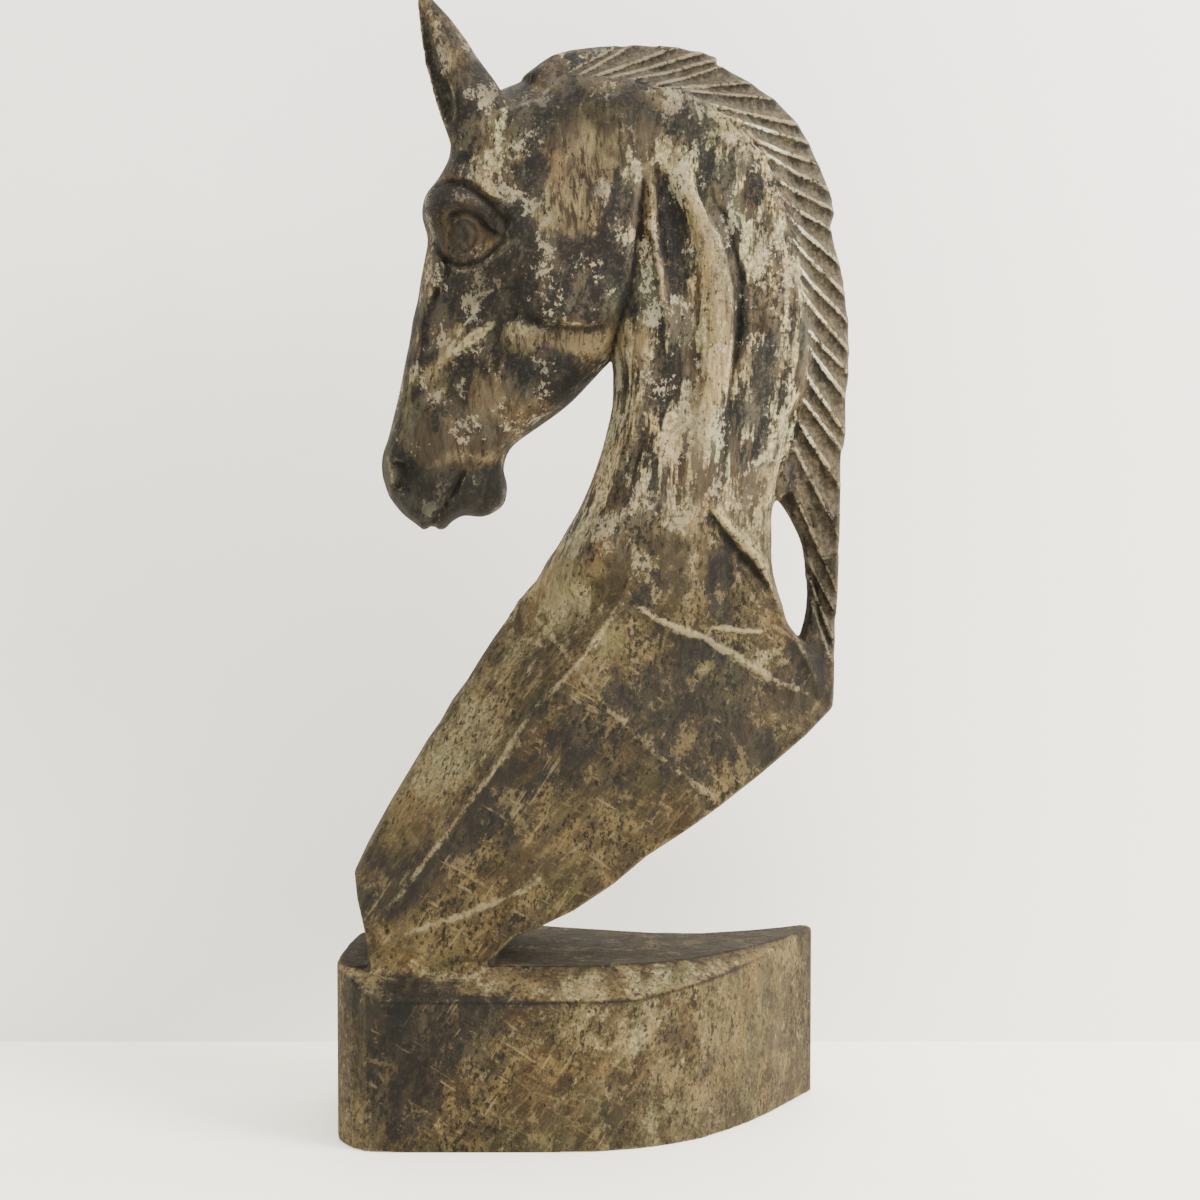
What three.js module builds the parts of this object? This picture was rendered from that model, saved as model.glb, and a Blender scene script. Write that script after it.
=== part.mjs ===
// A horse head with its neck, mane and plinth, carved as one solid from a
// single block of wood. Millimetres, +Z up, the underside of the plinth at
// Z = 0. The horse looks along -X; its broad cheeks face -Y and +Y.
//
// The carving is a thick relief worked from both broad sides: at every point
// of the side view the wood has a half thickness h, measured from the
// middle plane Y = 0. h comes from a few volumes (head, neck, mane, faceted
// shoulder), each with an outline, a thickness and an edge rounding, and from
// the cuts of the gouge laid over them. The plinth and the two ears are
// solids of their own shape that grow out of the same block.
import * as THREE from 'three';

// ---------------------------------------------------------------- sizes ---
const HEIGHT = 600;            // ear tips above the underside
const DESIGN_HEIGHT = 600;     // height at which the numbers below were drawn
const GRID = 2.5;              // spacing of the sampling of the form
const TRIANGLES = 9600;        // facets kept for the finished solid

const PLINTH_TOP = 93;         // height of the flat top of the plinth
const CHAMFER_WIDTH = 18;      // sloping border along the front of the plinth
const CHAMFER_DROP = 15;       // how far that border falls
const CHAMFER_START = -134;    // X where the border begins, at the left corner
const CHAMFER_END = 118;       // X where it has run out, at the right tip
const PLINTH_JOIN = 3;         // soft root between neck and plinth
const EAR_JOIN = 4;            // soft root of the ears
const MANE_EDGE = 2.6;           // rounding of the thin edge of the mane
const FLUTE_DEPTH = 3.4;       // gouge depth of a mane lock
const FACET_EDGE = 3;          // rounding of the shoulder's sawn edges
const FACET_SOFT = 1.2;        // softening where two shoulder facets meet
const CENTRE_X = 0.51;         // middle of the whole carving's box, moved to X = 0
const CENTRE_Y = 5.52;         // and to Y = 0; the head's middle plane ends up at -5.52

// ------------------------------------------------------------- outlines ---
// Pairs of X, Z along the side view, each a run of the carver's line.
// forehead, brow, nose and nostril
const FACE = [
  -28.2, 560.5, -38.8, 555.2, -49.4, 551, -60, 545.2, -69, 536.3, -74.9, 525.2,
  -76.5, 515.2, -81.9, 504.7, -88.3, 496.3, -90.4, 489.4, -90.4, 483.1, -87.8, 473.1,
  -89.4, 462.5, -91.6, 451.9, -93.2, 441.3, -95.9, 430.7, -97.6, 420.1, -99.8, 409.5,
  -101.9, 398.9, -104.1, 388.3, -106.8, 377.6, -109.5, 367, -111.7, 361.1, -112.8, 354.7,
  -112.3, 347.3, -110.2, 340.3,
];
// upper lip, mouth corner, lower lip and chin
const LIPS = [
  -108.1, 335.5, -101.7, 327.5, -94.2, 321.7, -90.5, 319, -87.3, 320.6, -84.6, 320.6,
  -81.9, 319, -78.7, 320, -75.5, 323.3, -69.1, 326.5, -59.5, 325.9, -52.5, 328.6,
  -47.7, 332.9, -46.1, 338.7, -46.1, 344.1, -47.7, 350.5, -46.6, 357.4,
];
// underside of the jaw up to the throat
const JAW = [
  -42.8, 363.8, -33.7, 370.7, -19.9, 380.3, -10.3, 388.3, -0.7, 398.4, 5.7, 405.3,
  9.5, 409.5,
];
// rear edge of the cheek and the poll
const CHEEK_BACK = [
  14.3, 421.2, 19, 435, 22.8, 448.7, 24.9, 464.6, 26.4, 479.4, 28.6, 499.4,
  30.1, 517.3, 36.5, 536.3, 30.1, 553.1, 8.9, 563.6, -12.3, 565.7,
];
// crest of the mane, with its two nicks, down to the shoulder corner
const CREST = [
  -34.5, 557.3, -25.5, 564.7, -21.3, 567.8, -11.8, 570.9, 3.6, 573.6, 24.8, 575.1,
  46, 573.6, 56.6, 571.5, 65.6, 568.8, 65.6, 564.7, 79.4, 557.3, 95.3, 546.8,
  106.5, 536.3, 113.4, 525.8, 118.2, 515.2, 123, 504.7, 126.8, 494.2, 127.9, 485.7,
  125.8, 479.4, 130.1, 462.5, 132.9, 451.9, 134, 441.3, 135.6, 430.7, 136.2, 414.8,
  135.8, 398.9, 134.2, 388.3, 134.8, 377.6, 133.8, 363.3, 132.2, 361.1, 131.8, 335,
  131.4, 313.6, 130.5, 281.5, 129.4, 270.8, 128.5, 238.6, 127.5, 224.6,
];
// where the mane is buried in the neck
const MANE_CORE = [
  113.5, 233.2, 111.9, 249.3, 110.2, 262.2, 89.1, 324.3, 78.3, 361.7, 78.1, 441.3,
  64.7, 499.4, 24.8, 531, -17.6, 541.5,
];
// the loop cut through between neck and mane tail
const MANE_LOOP = [
  97.6, 335, 101.9, 330.2, 106.2, 322.7, 110, 314.7, 112.2, 307.2, 113.3, 296.5,
  114.4, 285.8, 113.9, 276.2, 112.3, 268.1, 110.2, 262.2, 107.5, 264.4, 103.7, 269.7,
  101.6, 276.2, 98.9, 288.5, 96.7, 294.9, 95.1, 304.5, 95, 312, 95, 319,
  95, 329.1,
];
// throat and front of the neck
const NECK_FRONT = [
  9.5, 408.4, 10.5, 400.5, 10, 384.5, 7.3, 372.3, 4.1, 360.1, -1.7, 343.5,
  -8.2, 329.1, -14, 319.5, -19.4, 309.9, -24.2, 302.9, -30.1, 292.2, -39.2, 281.5,
  -42.5, 269.7, -28.5, 257.4, 3.6, 249.3,
];
// foot of the neck inside the shoulder
const NECK_FOOT = [
  25, 260.1, 100.1, 249.3,
];
// back of the neck, from the poll to the shoulder
const NECK_BACK = [
  -17.2, 557.7, 3.6, 561.9, 29.6, 562.9, 55.7, 556.7, 76.6, 546.4, 93.3, 531.9,
  103.8, 517.4, 109, 501.9, 111.2, 488.9, 114.4, 470.7, 116.5, 459.3, 118.7, 444.2,
  119.8, 428.1, 119.9, 416.6, 117.8, 402.5, 114.2, 391.6, 109, 384.8, 104.8, 378,
  102.2, 368.5, 100.2, 358.6, 98.1, 348.1, 96.6, 335.5, 94.5, 324.5, 94.6, 311.4,
  96.2, 295.6, 101.5, 278.2, 107.4, 264.5,
];
// front of the neck under the cheek
const NECK_CORE = [
  -17.6, 541.5, -1.7, 494.2, 3.6, 441.3,
];
// chest edge down to the plinth
const CHEST = [
  -24.2, 302.9, -30.1, 292.2, -40.3, 281.5, -46.7, 270.8, -54.3, 260.1, -61.2, 249.3,
  -67.7, 238.6, -75.8, 227.8, -81.7, 217.1, -89.3, 206.3, -95.7, 195.5, -102.2, 184.7,
  -108.7, 173.9, -114.7, 163.1, -120.6, 152.3, -127.7, 137.2, -125.6, 125.2, -119.2, 106.8,
  -116.1, 79.1,
];
// underside of the shoulder, from the plinth up to the rear corner
const BELLY = [
  -66.5, 79.1, -57.3, 88.9, -40, 106.3, -28.7, 110.6, -9.3, 119.8, 11.7, 133.9,
  28.9, 148.5, 47.2, 160.4, 67.6, 174.5, 88.5, 190.1, 113.1, 210.1, 127.5, 224.6,
];
// top of the shoulder inside the neck
const SHOULDER_TOP = [
  128.5, 233.2, 126.9, 249.3, 110.2, 262.2, 100, 281.5, 89.2, 302.9, 57.1, 313.6,
  3.6, 319,
];

// Thickness drawn at a few places: X, Z, half thickness.
// head
const HEAD_THICK = [
  -6.7, 535.3, 38, -47.8, 525.2, 33, -63.3, 509.8, 33, -71.1, 489.4, 35,
  -67, 471, 33, -45.4, 468.9, 40, -11.9, 484.3, 44, 3.6, 453.5, 43,
  -22.2, 438.1, 43, -48, 427.9, 37, -71.3, 433, 30, -84.2, 422.7, 24,
  -84.3, 391.8, 23, -61, 391.8, 29, -27.4, 402.1, 35, -1.6, 412.4, 36,
  -37.8, 381.5, 29, -97.3, 366, 22, -100, 345.3, 21, -79.3, 350.5, 25,
  -79.3, 329.8, 20, -56, 337.6, 18, -58.5, 360.9, 24,
];
// neck
const NECK_THICK = [
  3.6, 535.3, 38, 44.8, 525.2, 40, 75.7, 504.7, 37, 55.1, 474, 43,
  24.2, 438.1, 40, 65.6, 427.9, 44, 96.5, 438.1, 36, 96.4, 479.2, 34,
  106.9, 412.4, 31, 55.3, 376.3, 45, 24.3, 376.3, 41, 3.6, 345.3, 38,
  96.8, 366, 29, 91.7, 340.2, 26, 55.4, 335, 46, 14, 303.9, 45,
  -9.4, 288.3, 33, -27.6, 272.7, 18, -12, 257.1, 26, 24.4, 257.1, 40,
  86.6, 303.9, 24, 97.1, 277.9, 20,
];
// mane
const MANE_THICK = [
  -16.9, 559.8, 14, 3.6, 564.9, 15, 44.7, 564.9, 15, -17, 545.5, 22,
  13.9, 548.6, 26, 55, 540.4, 28, 63.2, 555.7, 18, 101.3, 529.2, 15,
  75.6, 530.3, 27, 122.1, 486.8, 13, 93.7, 494.5, 25, 130.1, 433, 12,
  106.8, 438.1, 22, 130.3, 386.7, 12, 111.1, 397, 20, 126.9, 345.3, 11,
  104.5, 360.9, 15, 126, 303.9, 11, 110.4, 314.3, 12, 124.7, 262.3, 12,
  110.6, 272.7, 12, 122.2, 236.3, 20, 75.7, 479.2, 22, 49.9, 504.7, 24,
  65.6, 417.6, 20, 24.2, 525.2, 24, -17, 532.8, 22,
];
// rounding of the head toward its outline
const HEAD_ROUND = [
  -49, 545, 24, -72.7, 519, 14, -85.9, 487.6, 9, -86, 466.7, 11,
  -91.4, 440.4, 13, -99.5, 398.4, 13, -107.5, 361.4, 11, -102.4, 335, 9,
  -81.2, 324.4, 7, -57.3, 329.7, 9, -46.7, 350.9, 8, -28.1, 377.3, 12,
  -1.7, 398.4, 13, 16.8, 429.9, 5, 27.3, 466.7, 4, 29.9, 503.3, 5,
  32.5, 545, 30, 3.6, 555.5, 40, -38.6, 466.7, 14,
];
// rounding of the neck toward its outline
const NECK_ROUND = [
  24.6, 555.5, 26, 56.2, 545, 26, 87.8, 519, 24, 106.3, 492.8, 20,
  114.4, 450.9, 17, 117.2, 414.2, 14, 110.9, 385.2, 8, 101.5, 358.8, 6,
  96.9, 324.4, 7, 104.5, 271.3, 8, 8.9, 398.4, 17, 3.6, 361.4, 22,
  -12.3, 319.1, 26, -28.2, 292.6, 26, -38.9, 271.3, 24, -17.7, 255.4, 10,
  3.6, 440.4, 20,
];

// Shoulder facets: half thickness = a X + b Z + c, the least one counts.
const SHOULDER_FACETS = [
  [0.90044, -0.65122, 225.032], // chest
  [-0.06670, 0.07998, 33.376], // flank
  [-0.25934, -0.06750, 68.665], // rear
  [-0.37044, -0.20737, 114.455], // behind the shoulder line
  [0.91541, -0.84417, 273.521], // front of the neck
];

// Gouge lines: [what it is, kind, depth, width, fade in, fade out, closed, X, Z, ...].
// 'ridge' raises (or with a minus sign cuts) a soft line, 'step' lowers the
// wood on the right-hand side of the line.
const GOUGES = [
  ['cheek rim', 'step', -4.4, 9, 0.06, 0.15, false, -38.7, 432.3, -32, 429.7, -23.7, 426.2, -14.4, 424.1, -0.5, 423.6, 8.8, 426.7, 13.9, 433.8, 17.5, 443.6, 20.6, 457.9, 22.6, 472.3, 24.7, 493.7, 25.7, 511.6],
  ['cheek tail', 'ridge', -2.2, 3, 0.1, 0.5, false, -37.1, 431.8, -43.8, 428.7, -52.1, 422, -63.5, 412.3],
  ['socket top', 'step', -3.4, 9, 0.08, 0.06, false, -86.9, 485, -84.8, 492.2, -79.7, 497.3, -73, 498.8, -65.8, 496.8, -59.1, 492.7, -53, 487.6, -46.8, 481.5, -42.2, 476.3],
  ['lid', 'ridge', 2.2, 4.6, 0.2, 0.2, false, -81.8, 480.9, -76.1, 487.6, -67.9, 489.6, -59.1, 485.5, -50.9, 478.9],
  ['lid edge', 'step', -2.4, 3, 0.08, 0.06, false, -75.6, 480.9, -71, 484, -65.3, 485, -60.2, 483, -56.6, 478.9, -52, 474.3, -45.8, 471.2],
  ['eye ring', 'ridge', 1.2, 1.2, 0, 0, true, -58.7, 471.3, -61.3, 464.6, -67.5, 461.9, -73.6, 464.6, -76.1, 471.3, -73.6, 477.9, -67.4, 480.7, -61.2, 477.9],
  ['iris ring', 'ridge', -0.9, 1.1, 0, 0, true, -60.5, 471, -62.5, 465.8, -67.4, 463.6, -72.3, 465.8, -74.4, 471, -72.3, 476.3, -67.4, 478.5, -62.5, 476.3],
  ['low line', 'ridge', -1.9, 1.7, 0.12, 0.1, false, -82.3, 477.9, -81.8, 470.7, -79.8, 464.6, -75.7, 459.5, -69.5, 456.9, -61.3, 457.4, -53.5, 461.5, -48.4, 466.6, -44.3, 472.3],
  ['low rim', 'ridge', 1.5, 2.2, 0.25, 0.15, false, -73.6, 453.3, -65.4, 453.3, -56.1, 456.4, -49.4, 461.5, -43.2, 468.7],
  ['front of eye', 'ridge', 1.4, 2.2, 0.2, 0.2, false, -78.2, 480.4, -79.2, 473.8, -77.7, 467.1, -73.6, 462],
  ['tear', 'ridge', -2.4, 1.5, 0.1, 0.4, false, -78.8, 462.5, -76.2, 456.4, -77.3, 451.8, -79.8, 447.2, -81.9, 441.5, -86.1, 431.8],
  ['nose crease', 'ridge', -1.6, 3.4, 0.15, 0.4, false, -78.8, 448.2, -81.9, 440, -87.1, 427.7, -92.3, 414.9],
  ['nose edge', 'ridge', 1.2, 2.2, 0.2, 0.4, false, -82.4, 452.3, -86.6, 438, -90.2, 422.6, -94.9, 406.1],
  ['crest1', 'ridge', 2.4, 3.2, 0.25, 0.35, false, -76.9, 408.7, -65, 416.4, -52.1, 425.1],
  ['crest2', 'ridge', 2, 3, 0.25, 0.35, false, -85.1, 402.5, -72.7, 417.4, -60.3, 432.8],
  ['crest under', 'ridge', -2.2, 5, 0.3, 0.3, false, -72.8, 401, -58.3, 412.3, -42.8, 417.4],
  ['nostril rim', 'ridge', 1.8, 1.2, 0.15, 0.15, false, -109.1, 360.3, -107.5, 355, -106.2, 348.7, -106.3, 342.9, -107.1, 337.6],
  ['nostril', 'ridge', -4.8, 4.2, 0.12, 0.2, false, -101.5, 356, -101, 350.7, -101.5, 345, -103.6, 338.7],
  ['nostril back', 'step', -2, 5, 0.2, 0.2, false, -99.4, 335, -95.7, 343.4, -95.1, 351.8, -97.2, 358.6],
  ['mouth', 'ridge', -3, 1.3, 0, 0.25, false, -86.3, 319.2, -82.6, 326.1, -78.9, 331.3, -75.2, 336.6, -71.5, 342.9, -68.9, 348.1, -65.7, 354.9],
  ['lip low', 'ridge', 1.2, 2, 0.1, 0.3, false, -76.3, 322.4, -72.1, 328.7, -67.8, 335, -64.7, 341.8],
  ['lip top', 'ridge', 1.6, 2.4, 0.1, 0.3, false, -88.9, 323.4, -84.7, 330.8, -79.9, 337.6, -75.7, 343.9, -72.5, 350.7],
  ['chin line', 'ridge', -1.6, 3, 0.2, 0.3, false, -49, 354.4, -55.3, 352.9, -61.6, 348.7],
  ['band', 'ridge', 2.6, 8, 0.08, 0.3, false, 41.6, 514.6, 48.8, 495.3, 56.1, 476.9, 61.3, 459.5, 63.9, 440.5, 64.5, 414.9, 61.4, 389.2, 56.3, 366, 49.1, 345.3, 42.9, 324.7],
  ['band left', 'step', -2.4, 6, 0.08, 0.35, false, 34.9, 511.6, 39.1, 497.3, 45.3, 484.5, 49.4, 474.3, 52.5, 462.5, 54.1, 450.8, 54.1, 436.4, 54.7, 414.3, 55.7, 398.9, 52.7, 383, 50.1, 363.4, 46, 346.4],
  ['band right', 'step', -3.4, 6.5, 0.3, 0.08, false, 56.3, 351.5, 61, 363.4, 68.2, 378.3, 72.7, 406.6, 74.2, 427.7, 72.6, 443.6, 69.5, 457.9, 65.9, 470.2, 59.7, 483, 55, 490.1, 52.4, 502.9, 47.8, 509.5],
  ['band crease', 'ridge', -2, 1.8, 0.2, 0.3, false, 55, 497.3, 63.3, 486.6, 68.9, 477.4, 73.1, 461.5, 76.2, 447.2, 75.2, 430.3, 73.2, 406.6, 69.2, 381.4],
  ['strip', 'ridge', 2.4, 3.2, 0.1, 0.5, false, 29.8, 507, 30.3, 489.1, 30.9, 472.8, 33.5, 455.9, 36.6, 438, 37.6, 412.3, 35.6, 386.6],
  ['strip crease', 'ridge', -2.6, 1.8, 0.1, 0.4, false, 32.4, 509.5, 33.4, 490.1, 34, 475.8, 37.1, 457.9, 39.7, 438],
  ['cheek gap', 'ridge', -2, 1.6, 0.1, 0.1, false, 28.3, 509.5, 26.2, 491.7, 24.7, 472.8, 22.7, 457.4, 19.6, 442.1, 16, 429.7, 10.8, 414.9],
  ['front crease', 'ridge', -2.4, 3, 0.3, 0.3, false, 29.4, 376.3, 24.3, 359.3, 13.9, 339.7, 3.6, 317.4],
  ['front cord', 'ridge', 2, 5, 0.3, 0.3, false, 24.2, 402, 21.2, 376.3, 12.9, 353.1, 3.6, 332.4],
  ['back cord', 'ridge', 2.6, 3.2, 0.1, 0.1, false, 62.5, 335.5, 66.1, 325.1, 76.1, 316.3, 91.2, 298, 100.7, 279.7, 107.5, 264, 122.3, 230],
  ['scoop a', 'ridge', -1.3, 1.8, 0.2, 0.3, false, 58.7, 314.2, 61.3, 296, 61.9, 276.8],
  ['scoop b', 'ridge', -1.1, 1.6, 0.2, 0.3, false, 67, 319.4, 70.1, 298.6, 71.2, 279.9],
  ['scoop c', 'ridge', -1.1, 1.6, 0.2, 0.3, false, 75.4, 308, 78.1, 293.4, 78.6, 278.8],
  ['scoop edge', 'ridge', -3, 2.5, 0.2, 0.2, false, 55.6, 311.6, 64, 303.8, 75.5, 289.2, 82.8, 275.1],
  ['short line', 'ridge', 1.6, 1.4, 0.15, 0.15, false, 61.9, 268.5, 75.4, 266.9, 91, 265.8],
  ['ridge1', 'ridge', 0.9, 1.5, 0.03, 0.05, false, -8.7, 250.5, -30.8, 227.3, -47.3, 202.6, -55.5, 191.2, -75.1, 164.9, -91.7, 143.1, -107.2, 123.4],
  ['ridge2', 'ridge', 0.8, 1.4, 0.08, 0.05, false, -28.2, 271.4, -8.7, 250.3, 4.1, 233.8, 22.6, 213.7, 40.1, 198.7, 63.3, 180.6],
  ['ridge3', 'ridge', 1.1, 1.5, 0.05, 0.08, false, 22.7, 279.7, 38.8, 270.9, 60.6, 262.1, 73, 254.3, 85.5, 247, 97.9, 239.2, 114.5, 233],
  ['ridge4', 'ridge', 0.6, 1.5, 0.1, 0.05, false, 11.8, 277.7, -8.7, 250.5],
  ['ridge6', 'ridge', 0.7, 1.6, 0.1, 0.1, false, -97.8, 111.8, -75.5, 118.5, -50.7, 128.4, -36.7, 134.1],
  ['strap a', 'ridge', -2.2, 2.2, 0.2, 0.2, false, 116.2, 300.1, 119.5, 282.1, 121.1, 260.9, 121.2, 246.1],
  ['strap b', 'ridge', -1.4, 1.4, 0.25, 0.2, false, 123.3, 287.4, 125.1, 260.8, 124.6, 237.4],
  ['gouge1', 'ridge', -3, 1.4, 0.1, 0.1, false, 107.3, 360.3, 110.5, 352.9, 115.3, 345.5],
  ['gouge2', 'ridge', -2.6, 1.2, 0.1, 0.1, false, 113.4, 332.4, 115.6, 325.5, 117.2, 319.2],
  ['chip1', 'ridge', -1.2, 1.3, 0.2, 0.2, false, -33.5, 207.8, -27.3, 210.9, -20.6, 214],
  ['crack1', 'ridge', -1.4, 1, 0.2, 0.2, false, 54.3, 283.3, 53.8, 275.5, 52.8, 268.8],
  ['crack2', 'ridge', -1, 0.9, 0.2, 0.2, false, 95.9, 443.3, 103.2, 438.1, 110.5, 431.9],
];

// Round swellings and hollows: [what it is, height, X, Z, radius, radius, turn, power].
const SWELLINGS = [
  ['socket', -3.6, -66.9, 470.72, 14, 13, 0, 2],
  ['under eye', -3, -47.92, 442.05, 20, 16, 0, 2],
  ['brow mass', 2.6, -72.5, 491.17, 15, 9, -0.2, 2],
  ['eyeball', 4.6, -67.67, 471.75, 8.4, 9.2, 0, 4],
  ['nose side', -2, -75.91, 386.58, 9, 16, 0.2, 2],
  ['chin', 1.4, -54.85, 338.62, 9, 9, 0, 2],
  ['hollow', -3.2, 42.71, 471.24, 6, 28, 0.12, 2],
  ['scoop', -4, 66.81, 296.18, 11, 25, 0.1, 2],
  ['bk hollow', -2.5, 86.34, 345.33, 10, 22, 0, 2],
  ['knot1', -2.5, -106.77, 111.89, 3.2, 3.2, 0, 2],
];

// Mane locks: where each ridge leaves the neck and where it meets the crest.
// at the neck
const MANE_ROOTS = [
  -15, 555.8, -7.8, 554.3, -1, 553.3, 8.8, 552.8, 16, 550.7, 28.4, 547.1,
  35.6, 546.6, 46, 546.6, 54.2, 539.5, 68.7, 532.3, 73.9, 523.6, 86.4, 514.8,
  92.1, 502, 95.2, 492.2, 98.9, 484, 103.1, 470.1, 104.2, 458.3, 107.9, 443.3,
  108.4, 427.3, 112.1, 415.9, 110.6, 402, 109.6, 389, 106.6, 378.6, 103.5, 368.3,
  100.4, 351.6, 99.5, 329.8, 105.2, 317.3, 110, 297.5,
];
// at the crest
const MANE_ENDS = [
  7.3, 570, 17.8, 572.1, 41.9, 572.1, 56.1, 570, 64.5, 565.9, 65.6, 561.7,
  81.4, 553.4, 93.5, 545.3, 105.6, 532.5, 109.9, 523.7, 115.7, 512.2, 123.1, 499.1,
  125.8, 488.1, 124.8, 477.7, 129.1, 460.4, 132.3, 444.6, 134, 429.9, 134.6, 414.7,
  134.7, 402.6, 133.7, 388.9, 132.7, 371.5, 131.7, 362, 129.6, 344.5, 128.2, 321.2,
  126.7, 293.7, 126.8, 278.8, 126.3, 263.9, 125.8, 250.1,
];

// Plan of the plinth: X, Y along the front from left to right, then the
// hollowed back from right to left.
// front
const PLAN_FRONT = [
  -134.8, -28.7, -133.2, -38, -129.6, -45.8, -124.6, -53, -116.8, -59.6, -104.4, -61,
  -88.4, -61.4, -47.4, -61.4, -16.4, -61, 3.6, -59.7, 24.3, -54.3, 41.6, -46,
  56.1, -36.2, 71.6, -20, 84.5, -3.9, 97.6, 16, 109.4, 36.3, 116.6, 49,
  123.1, 60,
];
// back
const PLAN_BACK = [
  123.6, 66, 122.1, 71, 117.6, 72.5, 105.6, 65, 87.6, 56.5, 59.6, 47.5,
  31.6, 49.5, 3.6, 58.5, -16.4, 65, -33.4, 72, -56.4, 72.5, -96.4, 66.5,
  -120.4, 61, -127.4, 56, -131.4, 46, -133.9, 20, -135, -10,
];

// Where the carving is fine and the facets stay small: X, Z, radius, care.
const FINE_SPOTS = [
  [-67, 471, 24, 5],
  [-86, 344, 30, 3],
];
const MANE_BAND = 30;          // width of the locked mane along the crest
const MANE_CARE = 6;

// Ear: height, middle X, half width, half thickness, distance from the middle plane.
const EAR = [
  [509.06, -53.61, 16.64, 10, 21.5],
  [520.92, -55.4, 18.97, 12, 22.5],
  [532.26, -59.02, 19.49, 12.5, 23.5],
  [542.56, -63.67, 18.96, 12, 24.4],
  [552.86, -68.44, 17, 10.8, 25.2],
  [563.14, -73.73, 14.53, 9.5, 26],
  [573.42, -77.72, 11.8, 8, 26.5],
  [583.69, -82.1, 8.43, 6.2, 27],
  [591.38, -85.83, 4.93, 4.6, 27.3],
  [596, -88.02, 2.46, 3.2, 27.5],
  [599.59, -89.17, 0.78, 1.8, 27.6],
];

// ---------------------------------------------------------------- tools ---
const clamp = (t, a, b) => Math.min(b, Math.max(a, t));
const ease = (t) => { t = clamp(t, 0, 1); return t * t * (3 - 2 * t); };
const softMax = (a, b, k) => {
  const h = clamp(0.5 + 0.5 * (a - b) / k, 0, 1);
  return b * (1 - h) + a * h + k * h * (1 - h);
};
const softMin = (a, b, k) => -softMax(-a, -b, k);
const rounded = (t) => (t < 0 ? 2 * t : t > 1 ? 1 : 2 * t - t * t);
const pairs = (flat) => {
  const out = [];
  for (let i = 0; i + 1 < flat.length; i += 2) out.push([flat[i], flat[i + 1]]);
  return out;
};

// A smooth run through the given points.
function smoothRun(p, closed, n) {
  const out = [], m = p.length;
  for (let i = 0; i < (closed ? m : m - 1); i++) {
    const a = closed ? p[(i - 1 + m) % m] : p[Math.max(i - 1, 0)];
    const b = p[i];
    const c = closed ? p[(i + 1) % m] : p[i + 1];
    const d = closed ? p[(i + 2) % m] : p[Math.min(i + 2, m - 1)];
    for (let k = 0; k < n; k++) {
      const t = k / n, q = [0, 0];
      for (let j = 0; j < 2; j++) {
        q[j] = 0.5 * (2 * b[j] + (c[j] - a[j]) * t + (2 * a[j] - 5 * b[j] + 4 * c[j] - d[j]) * t * t
          + (3 * b[j] - a[j] - 3 * c[j] + d[j]) * t * t * t);
      }
      out.push(q);
    }
  }
  if (!closed) out.push(p[m - 1]);
  return out;
}

// Distance, side, run fraction and inside flag of a line, over a flat lattice.
function measure(lat, line, closed, reach) {
  const { u, v } = lat, nu = u.length, nv = v.length, N = nu * nv;
  const dist = new Float64Array(N).fill(1e3), side = new Float64Array(N);
  const run = new Float64Array(N), inside = new Uint8Array(N);
  const m = line.length, count = closed ? m : m - 1;
  let lo0 = Infinity, hi0 = -Infinity, lo1 = Infinity, hi1 = -Infinity;
  for (const [a, b] of line) {
    lo0 = Math.min(lo0, a); hi0 = Math.max(hi0, a); lo1 = Math.min(lo1, b); hi1 = Math.max(hi1, b);
  }
  const cum = [0];
  for (let s = 0; s < count; s++) {
    const a = line[s], b = line[(s + 1) % m];
    cum.push(cum[s] + Math.hypot(b[0] - a[0], b[1] - a[1]));
  }
  const total = cum[count];
  for (let i = 0; i < nu; i++) {
    if (reach && (u[i] < lo0 - reach || u[i] > hi0 + reach)) continue;
    for (let k = 0; k < nv; k++) {
      if (reach && (v[k] < lo1 - reach || v[k] > hi1 + reach)) continue;
      let best = 1e18, sd = 0, rn = 0, ins = 0;
      for (let s = 0; s < count; s++) {
        const a = line[s], b = line[(s + 1) % m];
        const dx = b[0] - a[0], dz = b[1] - a[1], l2 = dx * dx + dz * dz;
        if (l2 < 1e-18) continue;
        const t = clamp(((u[i] - a[0]) * dx + (v[k] - a[1]) * dz) / l2, 0, 1);
        const ex = u[i] - a[0] - t * dx, ez = v[k] - a[1] - t * dz, d = ex * ex + ez * ez;
        if (d < best) { best = d; sd = Math.sign(dx * ez - dz * ex); rn = (cum[s] + t * Math.sqrt(l2)) / total; }
        if (closed && (a[1] > v[k]) !== (b[1] > v[k]) && u[i] < (b[0] - a[0]) * (v[k] - a[1]) / (b[1] - a[1]) + a[0]) ins ^= 1;
      }
      const id = i * nv + k;
      dist[id] = Math.sqrt(best); side[id] = sd; run[id] = rn; inside[id] = ins;
    }
  }
  return { dist, side, run, inside };
}
const depthInside = (lat, line) => {
  const m = measure(lat, line, true);
  return m.dist.map((d, i) => (m.inside[i] ? d : -d));
};

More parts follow.
